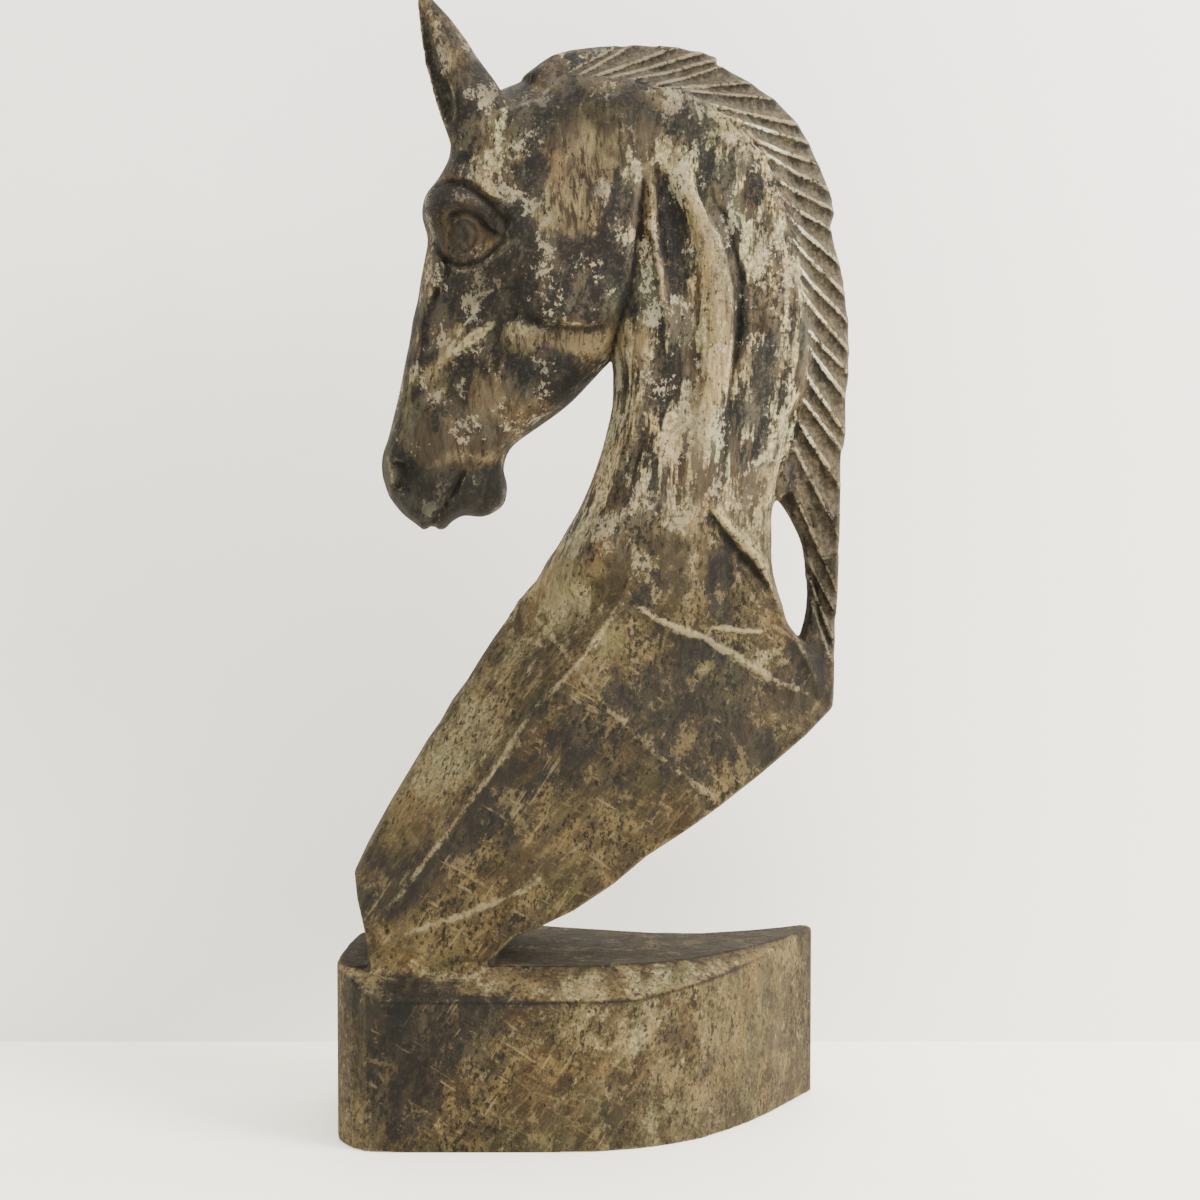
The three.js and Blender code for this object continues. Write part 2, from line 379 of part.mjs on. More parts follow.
// A smooth sheet through scattered heights (thin plate), kept within their range.
function sheet(lat, flat) {
  const pts = [];
  for (let i = 0; i + 2 < flat.length; i += 3) pts.push([flat[i] / 100, flat[i + 1] / 100, flat[i + 2]]);
  const n = pts.length, U = (r2) => (r2 > 0 ? r2 * Math.log(r2 + 1e-12) : 0);
  const M = [];
  for (let i = 0; i < n + 3; i++) M.push(new Array(n + 4).fill(0));
  for (let i = 0; i < n; i++) {
    for (let j = 0; j < n; j++) M[i][j] = U((pts[i][0] - pts[j][0]) ** 2 + (pts[i][1] - pts[j][1]) ** 2) + (i === j ? 0.02 : 0);
    M[i][n] = 1; M[i][n + 1] = pts[i][0]; M[i][n + 2] = pts[i][1];
    M[n][i] = 1; M[n + 1][i] = pts[i][0]; M[n + 2][i] = pts[i][1];
    M[i][n + 3] = pts[i][2];
  }
  const s = n + 3;
  for (let c = 0; c < s; c++) {
    let p = c;
    for (let r = c + 1; r < s; r++) if (Math.abs(M[r][c]) > Math.abs(M[p][c])) p = r;
    [M[c], M[p]] = [M[p], M[c]];
    for (let r = 0; r < s; r++) {
      if (r === c) continue;
      const f = M[r][c] / M[c][c];
      if (f !== 0) for (let k = c; k <= s; k++) M[r][k] -= f * M[c][k];
    }
  }
  const w = M.map((row, i) => row[s] / row[i]);
  const lo = Math.min(...pts.map((p) => p[2])), hi = Math.max(...pts.map((p) => p[2]));
  const out = new Float64Array(lat.u.length * lat.v.length);
  lat.each((x, z, id) => {
    const a = x / 100, b = z / 100;
    let val = w[n] + w[n + 1] * a + w[n + 2] * b;
    for (let i = 0; i < n; i++) val += w[i] * U((a - pts[i][0]) ** 2 + (b - pts[i][1]) ** 2 + 1e-12);
    out[id] = clamp(val, lo, hi);
  });
  return out;
}

function lattice(u, v) {
  return {
    u, v,
    each(fn) { for (let i = 0; i < u.length; i++) for (let k = 0; k < v.length; k++) fn(u[i], v[k], i * v.length + k); },
  };
}
const steps = (from, to, step) => {
  const out = [];
  for (let i = 0; from + i * step <= to + step / 2; i++) out.push(from + i * step);
  return out;
};

// ------------------------------------------------------- the two-sided relief ---
function addStroke(lat, m, [, kind, depth, width, fadeIn, fadeOut, closed, ...flat]) {
  const p = pairs(flat);
  const line = p.length > 2 ? smoothRun(p, closed, 3) : p;
  const g = measure(lat, line, closed, (kind === 'step' ? 5 : 3.2) * width);
  for (let i = 0; i < m.length; i++) {
    const d = g.dist[i];
    if (d > 900) continue;
    let fade = 1;
    if (!closed && fadeIn > 0) fade *= ease(g.run[i] / fadeIn);
    if (!closed && fadeOut > 0) fade *= ease((1 - g.run[i]) / fadeOut);
    const v = kind === 'step'
      ? depth * (g.side[i] < 0 ? Math.exp(-d / width) : Math.exp(-((d / (0.15 * width + 0.4)) ** 2)))
      : depth * Math.exp(-((d / width) ** 2));
    m[i] += v * fade;
  }
}

function addBlob(lat, m, [, height, cx, cz, a, b, turn, power]) {
  const c = Math.cos(turn), s = Math.sin(turn);
  lat.each((x, z, id) => {
    const dx = x - cx, dz = z - cz, u = (c * dx + s * dz) / a, v = (-s * dx + c * dz) / b;
    m[id] += height * Math.exp(-((u * u + v * v) ** (power / 2)));
  });
}

const lookUp = (x, xs, ys) => {
  if (x <= xs[0]) return ys[0];
  for (let i = 1; i < xs.length; i++) {
    if (x <= xs[i]) return ys[i - 1] + (ys[i] - ys[i - 1]) * (x - xs[i - 1]) / (xs[i] - xs[i - 1] || 1);
  }
  return ys[ys.length - 1];
};
// The gouged locks: hollow channels with straight sharp ridges between them.
function addMane(lat, m) {
  const inner = pairs(MANE_ROOTS), outer = pairs(MANE_ENDS), n = inner.length;
  const dirs = inner.map((p, k) => {
    const dx = outer[k][0] - p[0], dz = outer[k][1] - p[1], l = Math.hypot(dx, dz);
    return [dx / l, dz / l, l];
  });
  lat.each((x, z, i) => {
    const across = (k) => {
      const [dx, dz] = dirs[k], ex = x - inner[k][0], ez = z - inner[k][1];
      return [dz * ex - dx * ez, dx * ex + dz * ez];
    };
    let [s0, a0] = across(0);
    for (let k = 0; k + 1 < n; k++) {
      const [s1, a1] = across(k + 1);
      if (s0 >= 0 && s1 < 0 && a0 > -6 && a1 > -6 && a0 < dirs[k][2] + 14 && a1 < dirs[k + 1][2] + 14) {
        const f = s0 / (s0 - s1), a = (1 - f) * a0 + f * a1;
        m[i] = -FLUTE_DEPTH * (1 - Math.abs(2 * f - 1) ** 2.2) * ease((a + 0.5) / 3.4)
          * ease((k + 1.2) / 1.5) * ease((n - 1 - k) / 1.5);
      }
      s0 = s1; a0 = a1;
    }
  });
}

// Square of the half thickness at every point of the side view; below zero
// outside the wood.
function relief(lat) {
  const hole = measure(lat, smoothRun(pairs(MANE_LOOP), true, 3), true);
  const clear = hole.dist.map((d, i) => (hole.inside[i] ? -d : d));
  const head = depthInside(lat, smoothRun(pairs([...FACE, ...LIPS, ...JAW, ...CHEEK_BACK]), true, 3));
  const back = [];
  for (let i = NECK_BACK.length - 2; i >= 0; i -= 2) back.push(NECK_BACK[i], NECK_BACK[i + 1]);
  const neck = depthInside(lat, smoothRun(pairs([...NECK_FRONT, ...NECK_FOOT, ...back, ...NECK_CORE]), true, 2));
  const mane = depthInside(lat, pairs([...CREST, ...MANE_CORE]));
  const shoulder = depthInside(lat, pairs([...CHEST, ...BELLY, ...SHOULDER_TOP]));
  const th = sheet(lat, HEAD_THICK), rh = sheet(lat, HEAD_ROUND);
  const tn = sheet(lat, NECK_THICK), rn = sheet(lat, NECK_ROUND), tm = sheet(lat, MANE_THICK);
  const cuts = new Float64Array(th.length);
  for (const s of GOUGES) addStroke(lat, cuts, s);
  for (const b of SWELLINGS) addBlob(lat, cuts, b);
  const locks = new Float64Array(th.length);
  addMane(lat, locks);
  const q = new Float64Array(th.length);
  lat.each((x, z, i) => {
    const dn = Math.min(neck[i], clear[i]), dm = Math.min(mane[i], clear[i]), ds = Math.min(shoulder[i], clear[i]);
    let facet = Infinity;
    SHOULDER_FACETS.forEach(([a, b, c], j) => {
      const h = a * x + b * z + c;
      facet = j === 0 ? h : softMin(facet, h, FACET_SOFT);
    });
    facet = Math.max(facet, 2);
    let v = softMax(tn[i] ** 2 * rounded(dn / rn[i]), tm[i] ** 2 * rounded(dm / MANE_EDGE), 160);
    v = softMax(v, facet ** 2 * rounded(ds / FACET_EDGE), 12 + 480 * ease(Math.min(dn, ds) / 22));
    v = softMax(v, th[i] ** 2 * rounded(head[i] / rh[i]), 60 + 900 * ease((z - 505) / 35));
    if (v > 0) {
      const in_ = Math.max(head[i], dn, dm, ds);
      v = Math.max(Math.sqrt(v) + cuts[i] * ease(in_ / 5) + (dm > -1 ? locks[i] : 0), 0.6) ** 2;
    }
    q[i] = v;
  });
  return q;
}

// --------------------------------------------------------- the whole solid ---
function plinthTop(lat) {
  const front = pairs(PLAN_FRONT);
  const inside = depthInside(lat, pairs([...PLAN_FRONT, ...PLAN_BACK]));
  const edge = measure(lat, front, false);
  const slope = CHAMFER_DROP / CHAMFER_WIDTH, top = new Float64Array(inside.length), steep = new Float64Array(inside.length);
  lat.each((x, y, i) => {
    const width = CHAMFER_WIDTH * ease((x - CHAMFER_START) / 26) * clamp((CHAMFER_END - x) / 95, 0, 1) ** 0.9;
    top[i] = PLINTH_TOP - slope * Math.max(width - edge.dist[i], 0);
    steep[i] = edge.dist[i] < width ? Math.sqrt(1 + slope * slope) : 1;
  });
  return { inside, top, steep };
}

function earDistance(x, y, z) {
  const rows = EAR.length, zs = EAR.map((r) => r[0]), lo = zs[0], hi = zs[rows - 1];
  if (z < lo - 2 || z > hi + 3) return 50;
  const at = (j) => lookUp(z, zs, EAR.map((r) => r[j]));
  const cx = at(1), wx = at(2), ty = at(3), yc = at(4), Y = Math.abs(y);
  const f = (Math.sqrt(((x - cx) / wx) ** 2 + ((Y - yc) / ty) ** 2 + 1e-6) - 1) * Math.min(wx, ty) * 0.9;
  // the hollow opens forward and outward, and closes at the base and the tip
  const open = Math.sqrt(ease((z - (lo + 16)) / 20) * ease((hi - 3 - z) / 16)) + 1e-3;
  const ex = 0.64 * wx * open, ey = 0.74 * ty * open;
  const cup = (Math.sqrt(((x - (cx - 1.02 * wx)) / ex) ** 2 + ((Y - (yc + 0.56 * ty)) / ey) ** 2 + 1e-6) - 1) * Math.min(ex, ey);
  return Math.max(softMax(f, -cup, 0.8), z - hi - 0.3, lo - z);
}

function solidField(xs, ys, zs) {
  const side = lattice(xs, zs), q = relief(side), nx = xs.length, ny = ys.length, nz = zs.length;
  const plan = plinthTop(lattice(xs, ys));
  const F = new Float32Array(nx * ny * nz);
  for (let i = 0; i < nx; i++) {
    for (let k = 0; k < nz; k++) {
      const at = (a, b) => q[clamp(a, 0, nx - 1) * nz + clamp(b, 0, nz - 1)];
      const gx = (at(i + 1, k) - at(i - 1, k)) / (2 * GRID), gz = (at(i, k + 1) - at(i, k - 1)) / (2 * GRID);
      const g = gx * gx + gz * gz, z = zs[k];
      for (let j = 0; j < ny; j++) {
        const y = ys[j], p = i * ny + j;
        let f = z < PLINTH_TOP - 9 ? 50 : (y * y - q[i * nz + k]) / Math.sqrt(4 * y * y + g + 4);
        const wall = Math.max(-plan.inside[p], -z);
        const base = softMax(wall, (z - plan.top[p]) / plan.steep[p], 1.5);
        f = softMin(f, base, PLINTH_JOIN);
        const ear = earDistance(xs[i], y, z);
        if (ear < 50) f = softMin(f, ear, EAR_JOIN);
        F[(i * ny + j) * nz + k] = f;
      }
    }
  }
  return F;
}

// Fills cells whose corners alternate, so that the skin never pinches.
function unpinch(F, nx, ny, nz) {
  const id = (i, j, k) => (i * ny + j) * nz + k;
  const fill = (list) => { for (const p of list) if (F[p] >= 0) F[p] = -0.02; };
  for (let pass = 0; pass < 12; pass++) {
    let n = 0;
    for (let i = 0; i + 1 < nx; i++) for (let j = 0; j + 1 < ny; j++) for (let k = 0; k + 1 < nz; k++) {
      const c = [];
      for (let a = 0; a < 8; a++) c.push(id(i + (a & 1), j + ((a >> 1) & 1), k + (a >> 2)));
      const s = c.map((p) => F[p] < 0);
      const total = s.reduce((t, v) => t + (v ? 1 : 0), 0);
      if (total === 0 || total === 8) continue;
      for (const [a, b, d, e] of [[0, 1, 2, 3], [4, 5, 6, 7], [0, 1, 4, 5], [2, 3, 6, 7], [0, 2, 4, 6], [1, 3, 5, 7]]) {
        if (s[a] === s[e] && s[b] === s[d] && s[a] !== s[b]) { fill([c[a], c[b], c[d], c[e]]); n++; }
      }
      for (const a of [0, 1, 2, 3]) {
        const b = 7 - a;
        if ((total === 2 && s[a] && s[b]) || (total === 6 && !s[a] && !s[b])) { fill(c); n++; }
      }
    }
    if (n === 0) break;
  }
}

// One vertex in every cell that the skin crosses, joined into quads.
function skin(xs, ys, zs, F) {
  const nx = xs.length, ny = ys.length, nz = zs.length;
  unpinch(F, nx, ny, nz);
  const id = (i, j, k) => (i * ny + j) * nz + k;
  const cell = new Int32Array(nx * ny * nz).fill(-1), pos = [], tri = [];
  for (let i = 0; i + 1 < nx; i++) for (let j = 0; j + 1 < ny; j++) for (let k = 0; k + 1 < nz; k++) {
    const c = [];
    for (let a = 0; a < 8; a++) c.push(F[id(i + (a & 1), j + ((a >> 1) & 1), k + (a >> 2))]);
    let x = 0, y = 0, z = 0, n = 0;
    for (let a = 0; a < 8; a++) for (const bit of [1, 2, 4]) {
      if (a & bit) continue;
      const b = a | bit, va = c[a], vb = c[b];
      if ((va < 0) === (vb < 0)) continue;
      const t = va / (va - vb);
      x += (a & 1) + (bit === 1 ? t : 0); y += ((a >> 1) & 1) + (bit === 2 ? t : 0); z += (a >> 2) + (bit === 4 ? t : 0); n++;
    }
    if (n) {
      cell[id(i, j, k)] = pos.length / 3;
      pos.push(xs[i] + GRID * x / n, ys[j] + GRID * y / n, zs[k] + GRID * z / n);
    }
  }
  const quad = (a, b, c, d, keep) => {
    if (keep) tri.push(a, b, c, a, c, d); else tri.push(a, c, b, a, d, c);
  };
  for (let i = 1; i + 1 < nx; i++) for (let j = 1; j + 1 < ny; j++) for (let k = 1; k + 1 < nz; k++) {
    const s = F[id(i, j, k)] < 0;
    if (s !== F[id(i + 1, j, k)] < 0) quad(cell[id(i, j - 1, k - 1)], cell[id(i, j, k - 1)], cell[id(i, j, k)], cell[id(i, j - 1, k)], s);
    if (s !== F[id(i, j + 1, k)] < 0) quad(cell[id(i - 1, j, k - 1)], cell[id(i - 1, j, k)], cell[id(i, j, k)], cell[id(i, j, k - 1)], s);
    if (s !== F[id(i, j, k + 1)] < 0) quad(cell[id(i - 1, j - 1, k)], cell[id(i, j - 1, k)], cell[id(i, j, k)], cell[id(i - 1, j, k)], s);
  }
  return { pos, tri };
}

// Merges the flattest edges first until the wanted number of facets is left,
// never tearing, pinching or folding the skin.
function facet(pos, tri, target, care) {
  const nv = pos.length / 3, nf = tri.length / 3;
  const P = Float64Array.from(pos), T = Int32Array.from(tri), Q = new Float64Array(nv * 10);
  const faces = Array.from({ length: nv }, () => []), alive = new Uint8Array(nf).fill(1), stamp = new Int32Array(nv), gone = new Uint8Array(nv);
  const normal = (a, b, c) => {
    const ux = P[b * 3] - P[a * 3], uy = P[b * 3 + 1] - P[a * 3 + 1], uz = P[b * 3 + 2] - P[a * 3 + 2];
    const vx = P[c * 3] - P[a * 3], vy = P[c * 3 + 1] - P[a * 3 + 1], vz = P[c * 3 + 2] - P[a * 3 + 2];
    return [uy * vz - uz * vy, uz * vx - ux * vz, ux * vy - uy * vx];
  };
  for (let f = 0; f < nf; f++) {
    const [a, b, c] = [T[f * 3], T[f * 3 + 1], T[f * 3 + 2]];
    faces[a].push(f); faces[b].push(f); faces[c].push(f);
    let [x, y, z] = normal(a, b, c);
    const l = Math.hypot(x, y, z) || 1e-12, w = l * care(P[a * 3], P[a * 3 + 2]);
    x /= l; y /= l; z /= l;
    const d = -(x * P[a * 3] + y * P[a * 3 + 1] + z * P[a * 3 + 2]);
    const q = [x * x, x * y, x * z, x * d, y * y, y * z, y * d, z * z, z * d, d * d];
    for (const v of [a, b, c]) for (let i = 0; i < 10; i++) Q[v * 10 + i] += q[i] * w;
  }
  const err = (q, x, y, z) => q[0] * x * x + 2 * q[1] * x * y + 2 * q[2] * x * z + 2 * q[3] * x + q[4] * y * y + 2 * q[5] * y * z
    + 2 * q[6] * y + q[7] * z * z + 2 * q[8] * z + q[9];
  const heap = [];
  const push = (e) => {
    let i = heap.length; heap.push(e);
    while (i > 0) { const p = (i - 1) >> 1; if (heap[p].cost <= e.cost) break; heap[i] = heap[p]; i = p; }
    heap[i] = e;
  };
  const pop = () => {
    const top = heap[0], last = heap.pop(), n = heap.length;
    if (n) {
      let i = 0;
      for (;;) {
        let c = 2 * i + 1;
        if (c >= n) break;
        if (c + 1 < n && heap[c + 1].cost < heap[c].cost) c++;
        if (heap[c].cost >= last.cost) break;
        heap[i] = heap[c]; i = c;
      }
      heap[i] = last;
    }
    return top;
  };
  const plan = (a, b) => {
    const q = new Float64Array(10);
    for (let i = 0; i < 10; i++) q[i] = Q[a * 10 + i] + Q[b * 10 + i];
    const det = q[0] * (q[4] * q[7] - q[5] * q[5]) - q[1] * (q[1] * q[7] - q[5] * q[2]) + q[2] * (q[1] * q[5] - q[4] * q[2]);
    const mx = (P[a * 3] + P[b * 3]) / 2, my = (P[a * 3 + 1] + P[b * 3 + 1]) / 2, mz = (P[a * 3 + 2] + P[b * 3 + 2]) / 2;
    const len = Math.hypot(P[a * 3] - P[b * 3], P[a * 3 + 1] - P[b * 3 + 1], P[a * 3 + 2] - P[b * 3 + 2]);
    const tries = [[mx, my, mz], [P[a * 3], P[a * 3 + 1], P[a * 3 + 2]], [P[b * 3], P[b * 3 + 1], P[b * 3 + 2]]];
    if (Math.abs(det) > 1e-6 * (q[0] + q[4] + q[7]) ** 3) {
      const x = -(q[3] * (q[4] * q[7] - q[5] * q[5]) - q[1] * (q[6] * q[7] - q[5] * q[8]) + q[2] * (q[6] * q[5] - q[4] * q[8])) / det;
      const y = -(q[0] * (q[6] * q[7] - q[8] * q[5]) - q[3] * (q[1] * q[7] - q[5] * q[2]) + q[2] * (q[1] * q[8] - q[6] * q[2])) / det;
      const z = -(q[0] * (q[4] * q[8] - q[5] * q[6]) - q[1] * (q[1] * q[8] - q[6] * q[2]) + q[3] * (q[1] * q[5] - q[4] * q[2])) / det;
      if (Math.hypot(x - mx, y - my, z - mz) < 1.2 * len) tries.push([x, y, z]);
    }
    let best = Infinity, at = tries[0];
    for (const t of tries) { const e = err(q, ...t); if (e < best) { best = e; at = t; } }
    push({ cost: Math.max(best, 0) + 1e-5 * len * len, a, b, sa: stamp[a], sb: stamp[b], at });
  };
  for (let f = 0; f < nf; f++) for (let e = 0; e < 3; e++) {
    const a = T[f * 3 + e], b = T[f * 3 + (e + 1) % 3];
    if (a < b) plan(a, b);
  }
  const ring = (v) => {
    const s = new Set();
    for (const f of faces[v]) for (let e = 0; e < 3; e++) if (T[f * 3 + e] !== v) s.add(T[f * 3 + e]);
    return s;
  };
  let left = nf;
  while (left > target && heap.length) {
    const e = pop(), { a, b, at } = e;
    if (gone[a] || gone[b] || stamp[a] !== e.sa || stamp[b] !== e.sb) continue;
    const ra = ring(a), rb = ring(b);
    let common = 0;
    for (const v of ra) if (rb.has(v)) common++;
    if (common !== 2 || ra.size + rb.size - 4 < 3) continue;
    let ok = true;
    const old = [P[a * 3], P[a * 3 + 1], P[a * 3 + 2], P[b * 3], P[b * 3 + 1], P[b * 3 + 2]];
    for (const [v, w] of [[a, b], [b, a]]) {
      for (const f of faces[v]) {
        const t = [T[f * 3], T[f * 3 + 1], T[f * 3 + 2]];
        if (t.includes(w)) continue;
        const n0 = normal(...t), keep = [P[v * 3], P[v * 3 + 1], P[v * 3 + 2]];
        P[v * 3] = at[0]; P[v * 3 + 1] = at[1]; P[v * 3 + 2] = at[2];
        const n1 = normal(...t);
        let longest = 0;
        for (let s = 0; s < 3; s++) {
          const p = t[s], r = t[(s + 1) % 3];
          longest = Math.max(longest, Math.hypot(P[p * 3] - P[r * 3], P[p * 3 + 1] - P[r * 3 + 1], P[p * 3 + 2] - P[r * 3 + 2]));
        }
        [P[v * 3], P[v * 3 + 1], P[v * 3 + 2]] = keep;
        const l0 = Math.hypot(...n0), l1 = Math.hypot(...n1);
        if (l1 < 0.04 * longest * longest || n0[0] * n1[0] + n0[1] * n1[1] + n0[2] * n1[2] < 0.25 * l0 * l1) { ok = false; break; }
      }
      if (!ok) break;
    }
    if (!ok) continue;
    void old;
    for (const f of faces[b]) {
      if (!alive[f]) continue;
      if (T[f * 3] === a || T[f * 3 + 1] === a || T[f * 3 + 2] === a) { alive[f] = 0; left--; continue; }
      for (let s = 0; s < 3; s++) if (T[f * 3 + s] === b) T[f * 3 + s] = a;
      faces[a].push(f);
    }
    for (const v of [...rb, ...ra]) faces[v] = faces[v].filter((f) => alive[f]);
    faces[a] = faces[a].filter((f) => alive[f]);
    faces[b] = []; gone[b] = 1; stamp[a]++;
    P[a * 3] = at[0]; P[a * 3 + 1] = at[1]; P[a * 3 + 2] = at[2];
    for (let i = 0; i < 10; i++) Q[a * 10 + i] += Q[b * 10 + i];
    for (const v of ring(a)) plan(Math.min(a, v), Math.max(a, v));
  }
  const map = new Int32Array(nv).fill(-1), outP = [], outT = [];
  for (let f = 0; f < nf; f++) {
    if (!alive[f]) continue;
    for (let s = 0; s < 3; s++) {
      const v = T[f * 3 + s];
      if (map[v] < 0) { map[v] = outP.length / 3; outP.push(P[v * 3], P[v * 3 + 1], P[v * 3 + 2]); }
      outT.push(map[v]);
    }
  }
  return { pos: outP, tri: outT };
}

// ---------------------------------------------------------------- build ---
const xs = steps(-142, 142, GRID), ys = steps(-66, 77, GRID), zs = steps(-3.5 * GRID, 606, GRID);
const rough = skin(xs, ys, zs, solidField(xs, ys, zs));
const crestBand = measure(lattice(xs, zs), pairs(CREST), false);
const care = (x, z) => {
  const i = clamp(Math.round((x - xs[0]) / GRID), 0, xs.length - 1), k = clamp(Math.round((z - zs[0]) / GRID), 0, zs.length - 1);
  let c = z > 290 && crestBand.dist[i * zs.length + k] < MANE_BAND ? MANE_CARE : 1;
  for (const [sx, sz, r, v] of FINE_SPOTS) if (Math.hypot(x - sx, z - sz) < r) c = Math.max(c, v);
  return c;
};
const carved = facet(rough.pos, rough.tri, TRIANGLES, care);

const geometry = new THREE.BufferGeometry();
const size = HEIGHT / DESIGN_HEIGHT;
const place = Float32Array.from(carved.pos, (v, i) => (v - [CENTRE_X, CENTRE_Y, 0][i % 3]) * size);
// the sawn underside is flat
for (let i = 2; i < place.length; i += 3) if (place[i] < 0.35 * size) place[i] = 0;
geometry.setAttribute('position', new THREE.BufferAttribute(place, 3));
geometry.setIndex(carved.tri);
geometry.computeVertexNormals();

const weatheredWood = new THREE.MeshStandardMaterial({ color: 0x8a7860, roughness: 0.85, metalness: 0 });
const horse = new THREE.Mesh(geometry, weatheredWood);
horse.name = 'horse_head_and_plinth';

const sculpture = new THREE.Group();
sculpture.name = 'driftwood_horse_head';
sculpture.add(horse);
export default sculpture;
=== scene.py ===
import math
import bpy
import numpy as np
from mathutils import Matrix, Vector


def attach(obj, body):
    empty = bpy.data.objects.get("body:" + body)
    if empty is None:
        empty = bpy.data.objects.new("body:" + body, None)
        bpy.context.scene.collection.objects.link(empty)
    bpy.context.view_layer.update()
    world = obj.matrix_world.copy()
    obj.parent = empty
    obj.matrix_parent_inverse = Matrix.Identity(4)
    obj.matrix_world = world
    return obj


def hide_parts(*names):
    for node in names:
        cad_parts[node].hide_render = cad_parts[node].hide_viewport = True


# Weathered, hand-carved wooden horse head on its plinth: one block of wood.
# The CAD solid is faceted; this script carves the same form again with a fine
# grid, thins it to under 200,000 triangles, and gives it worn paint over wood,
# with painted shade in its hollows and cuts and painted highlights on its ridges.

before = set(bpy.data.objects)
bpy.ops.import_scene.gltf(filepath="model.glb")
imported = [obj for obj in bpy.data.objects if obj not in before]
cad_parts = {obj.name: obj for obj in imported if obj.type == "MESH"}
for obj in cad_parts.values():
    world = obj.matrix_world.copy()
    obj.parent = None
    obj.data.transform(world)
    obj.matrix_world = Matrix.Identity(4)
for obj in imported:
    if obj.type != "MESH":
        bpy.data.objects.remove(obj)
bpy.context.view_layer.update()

# ------------------------------------------------------------------ sizes (mm)
CENTRE = (0.51, 5.52)      # middle of the carving's box in drawing coordinates
GRID = 1.25                # spacing of the sampling of the form
TRIANGLES = 196000
EYE = (3.6, -1200.0, 335.0)  # camera, drawing coordinates
PITCH = math.degrees(math.atan(100 / 2244.0))
LENS = 36.0 * 2244.0 / 1200.0

# ------------------------------------------------ the carver's lines, X, Z pairs (mm)
C = {}
C['FACE'] = np.array([-28.2, 560.5, -38.8, 555.2, -49.4, 551, -60, 545.2, -69, 536.3, -74.9, 525.2, -76.5, 515.2, -81.9, 504.7,
    -88.3, 496.3, -90.4, 489.4, -90.4, 483.1, -87.8, 473.1, -89.4, 462.5, -91.6, 451.9, -93.2, 441.3, -95.9,
    430.7, -97.6, 420.1, -99.8, 409.5, -101.9, 398.9, -104.1, 388.3, -106.8, 377.6, -109.5, 367, -111.7, 361.1,
    -112.8, 354.7, -112.3, 347.3, -110.2, 340.3]).reshape(-1, 2)
C['LIPS'] = np.array([-108.1, 335.5, -101.7, 327.5, -94.2, 321.7, -90.5, 319, -87.3, 320.6, -84.6, 320.6, -81.9, 319, -78.7, 320,
    -75.5, 323.3, -69.1, 326.5, -59.5, 325.9, -52.5, 328.6, -47.7, 332.9, -46.1, 338.7, -46.1, 344.1, -47.7,
    350.5, -46.6, 357.4]).reshape(-1, 2)
C['JAW'] = np.array([-42.8, 363.8, -33.7, 370.7, -19.9, 380.3, -10.3, 388.3, -0.7, 398.4, 5.7, 405.3, 9.5, 409.5]).reshape(-1, 2)
C['HEADBACK'] = np.array([14.3, 421.2, 19, 435, 22.8, 448.7, 24.9, 464.6, 26.4, 479.4, 28.6, 499.4, 30.1, 517.3, 36.5, 536.3, 30.1,
    553.1, 8.9, 563.6, -12.3, 565.7]).reshape(-1, 2)
C['CREST'] = np.array([-34.5, 557.3, -25.5, 564.7, -21.3, 567.8, -11.8, 570.9, 3.6, 573.6, 24.8, 575.1, 46, 573.6, 56.6, 571.5,
    65.6, 568.8, 65.6, 564.7, 79.4, 557.3, 95.3, 546.8, 106.5, 536.3, 113.4, 525.8, 118.2, 515.2, 123, 504.7,
    126.8, 494.2, 127.9, 485.7, 125.8, 479.4, 130.1, 462.5, 132.9, 451.9, 134, 441.3, 135.6, 430.7, 136.2, 414.8,
    135.8, 398.9, 134.2, 388.3, 134.8, 377.6, 133.8, 363.3, 132.2, 361.1, 131.8, 335, 131.4, 313.6, 130.5, 281.5,
    129.4, 270.8, 128.5, 238.6, 127.5, 224.6]).reshape(-1, 2)
C['MANEIN'] = np.array([113.5, 233.2, 111.9, 249.3, 110.2, 262.2, 89.1, 324.3, 78.3, 361.7, 78.1, 441.3, 64.7, 499.4, 24.8, 531,
    -17.6, 541.5]).reshape(-1, 2)
C['HOLE'] = np.array([97.6, 335, 101.9, 330.2, 106.2, 322.7, 110, 314.7, 112.2, 307.2, 113.3, 296.5, 114.4, 285.8, 113.9, 276.2,
    112.3, 268.1, 110.2, 262.2, 107.5, 264.4, 103.7, 269.7, 101.6, 276.2, 98.9, 288.5, 96.7, 294.9, 95.1, 304.5,
    95, 312, 95, 319, 95, 329.1]).reshape(-1, 2)
C['NECKFRONT'] = np.array([9.5, 408.4, 10.5, 400.5, 10, 384.5, 7.3, 372.3, 4.1, 360.1, -1.7, 343.5, -8.2, 329.1, -14, 319.5, -19.4,
    309.9, -24.2, 302.9, -30.1, 292.2, -39.2, 281.5, -42.5, 269.7, -28.5, 257.4, 3.6, 249.3]).reshape(-1, 2)
C['NECKIN'] = np.array([-17.6, 541.5, -1.7, 494.2, 3.6, 441.3]).reshape(-1, 2)
C['NECKBACK'] = np.array([-17.2, 557.7, 3.6, 561.9, 29.6, 562.9, 55.7, 556.7, 76.6, 546.4, 93.3, 531.9, 103.8, 517.4, 109, 501.9,
    111.2, 488.9, 114.4, 470.7, 116.5, 459.3, 118.7, 444.2, 119.8, 428.1, 119.9, 416.6, 117.8, 402.5, 114.2,
    391.6, 109, 384.8, 104.8, 378, 102.2, 368.5, 100.2, 358.6, 98.1, 348.1, 96.6, 335.5, 94.5, 324.5, 94.6, 311.4,
    96.2, 295.6, 101.5, 278.2, 107.4, 264.5]).reshape(-1, 2)
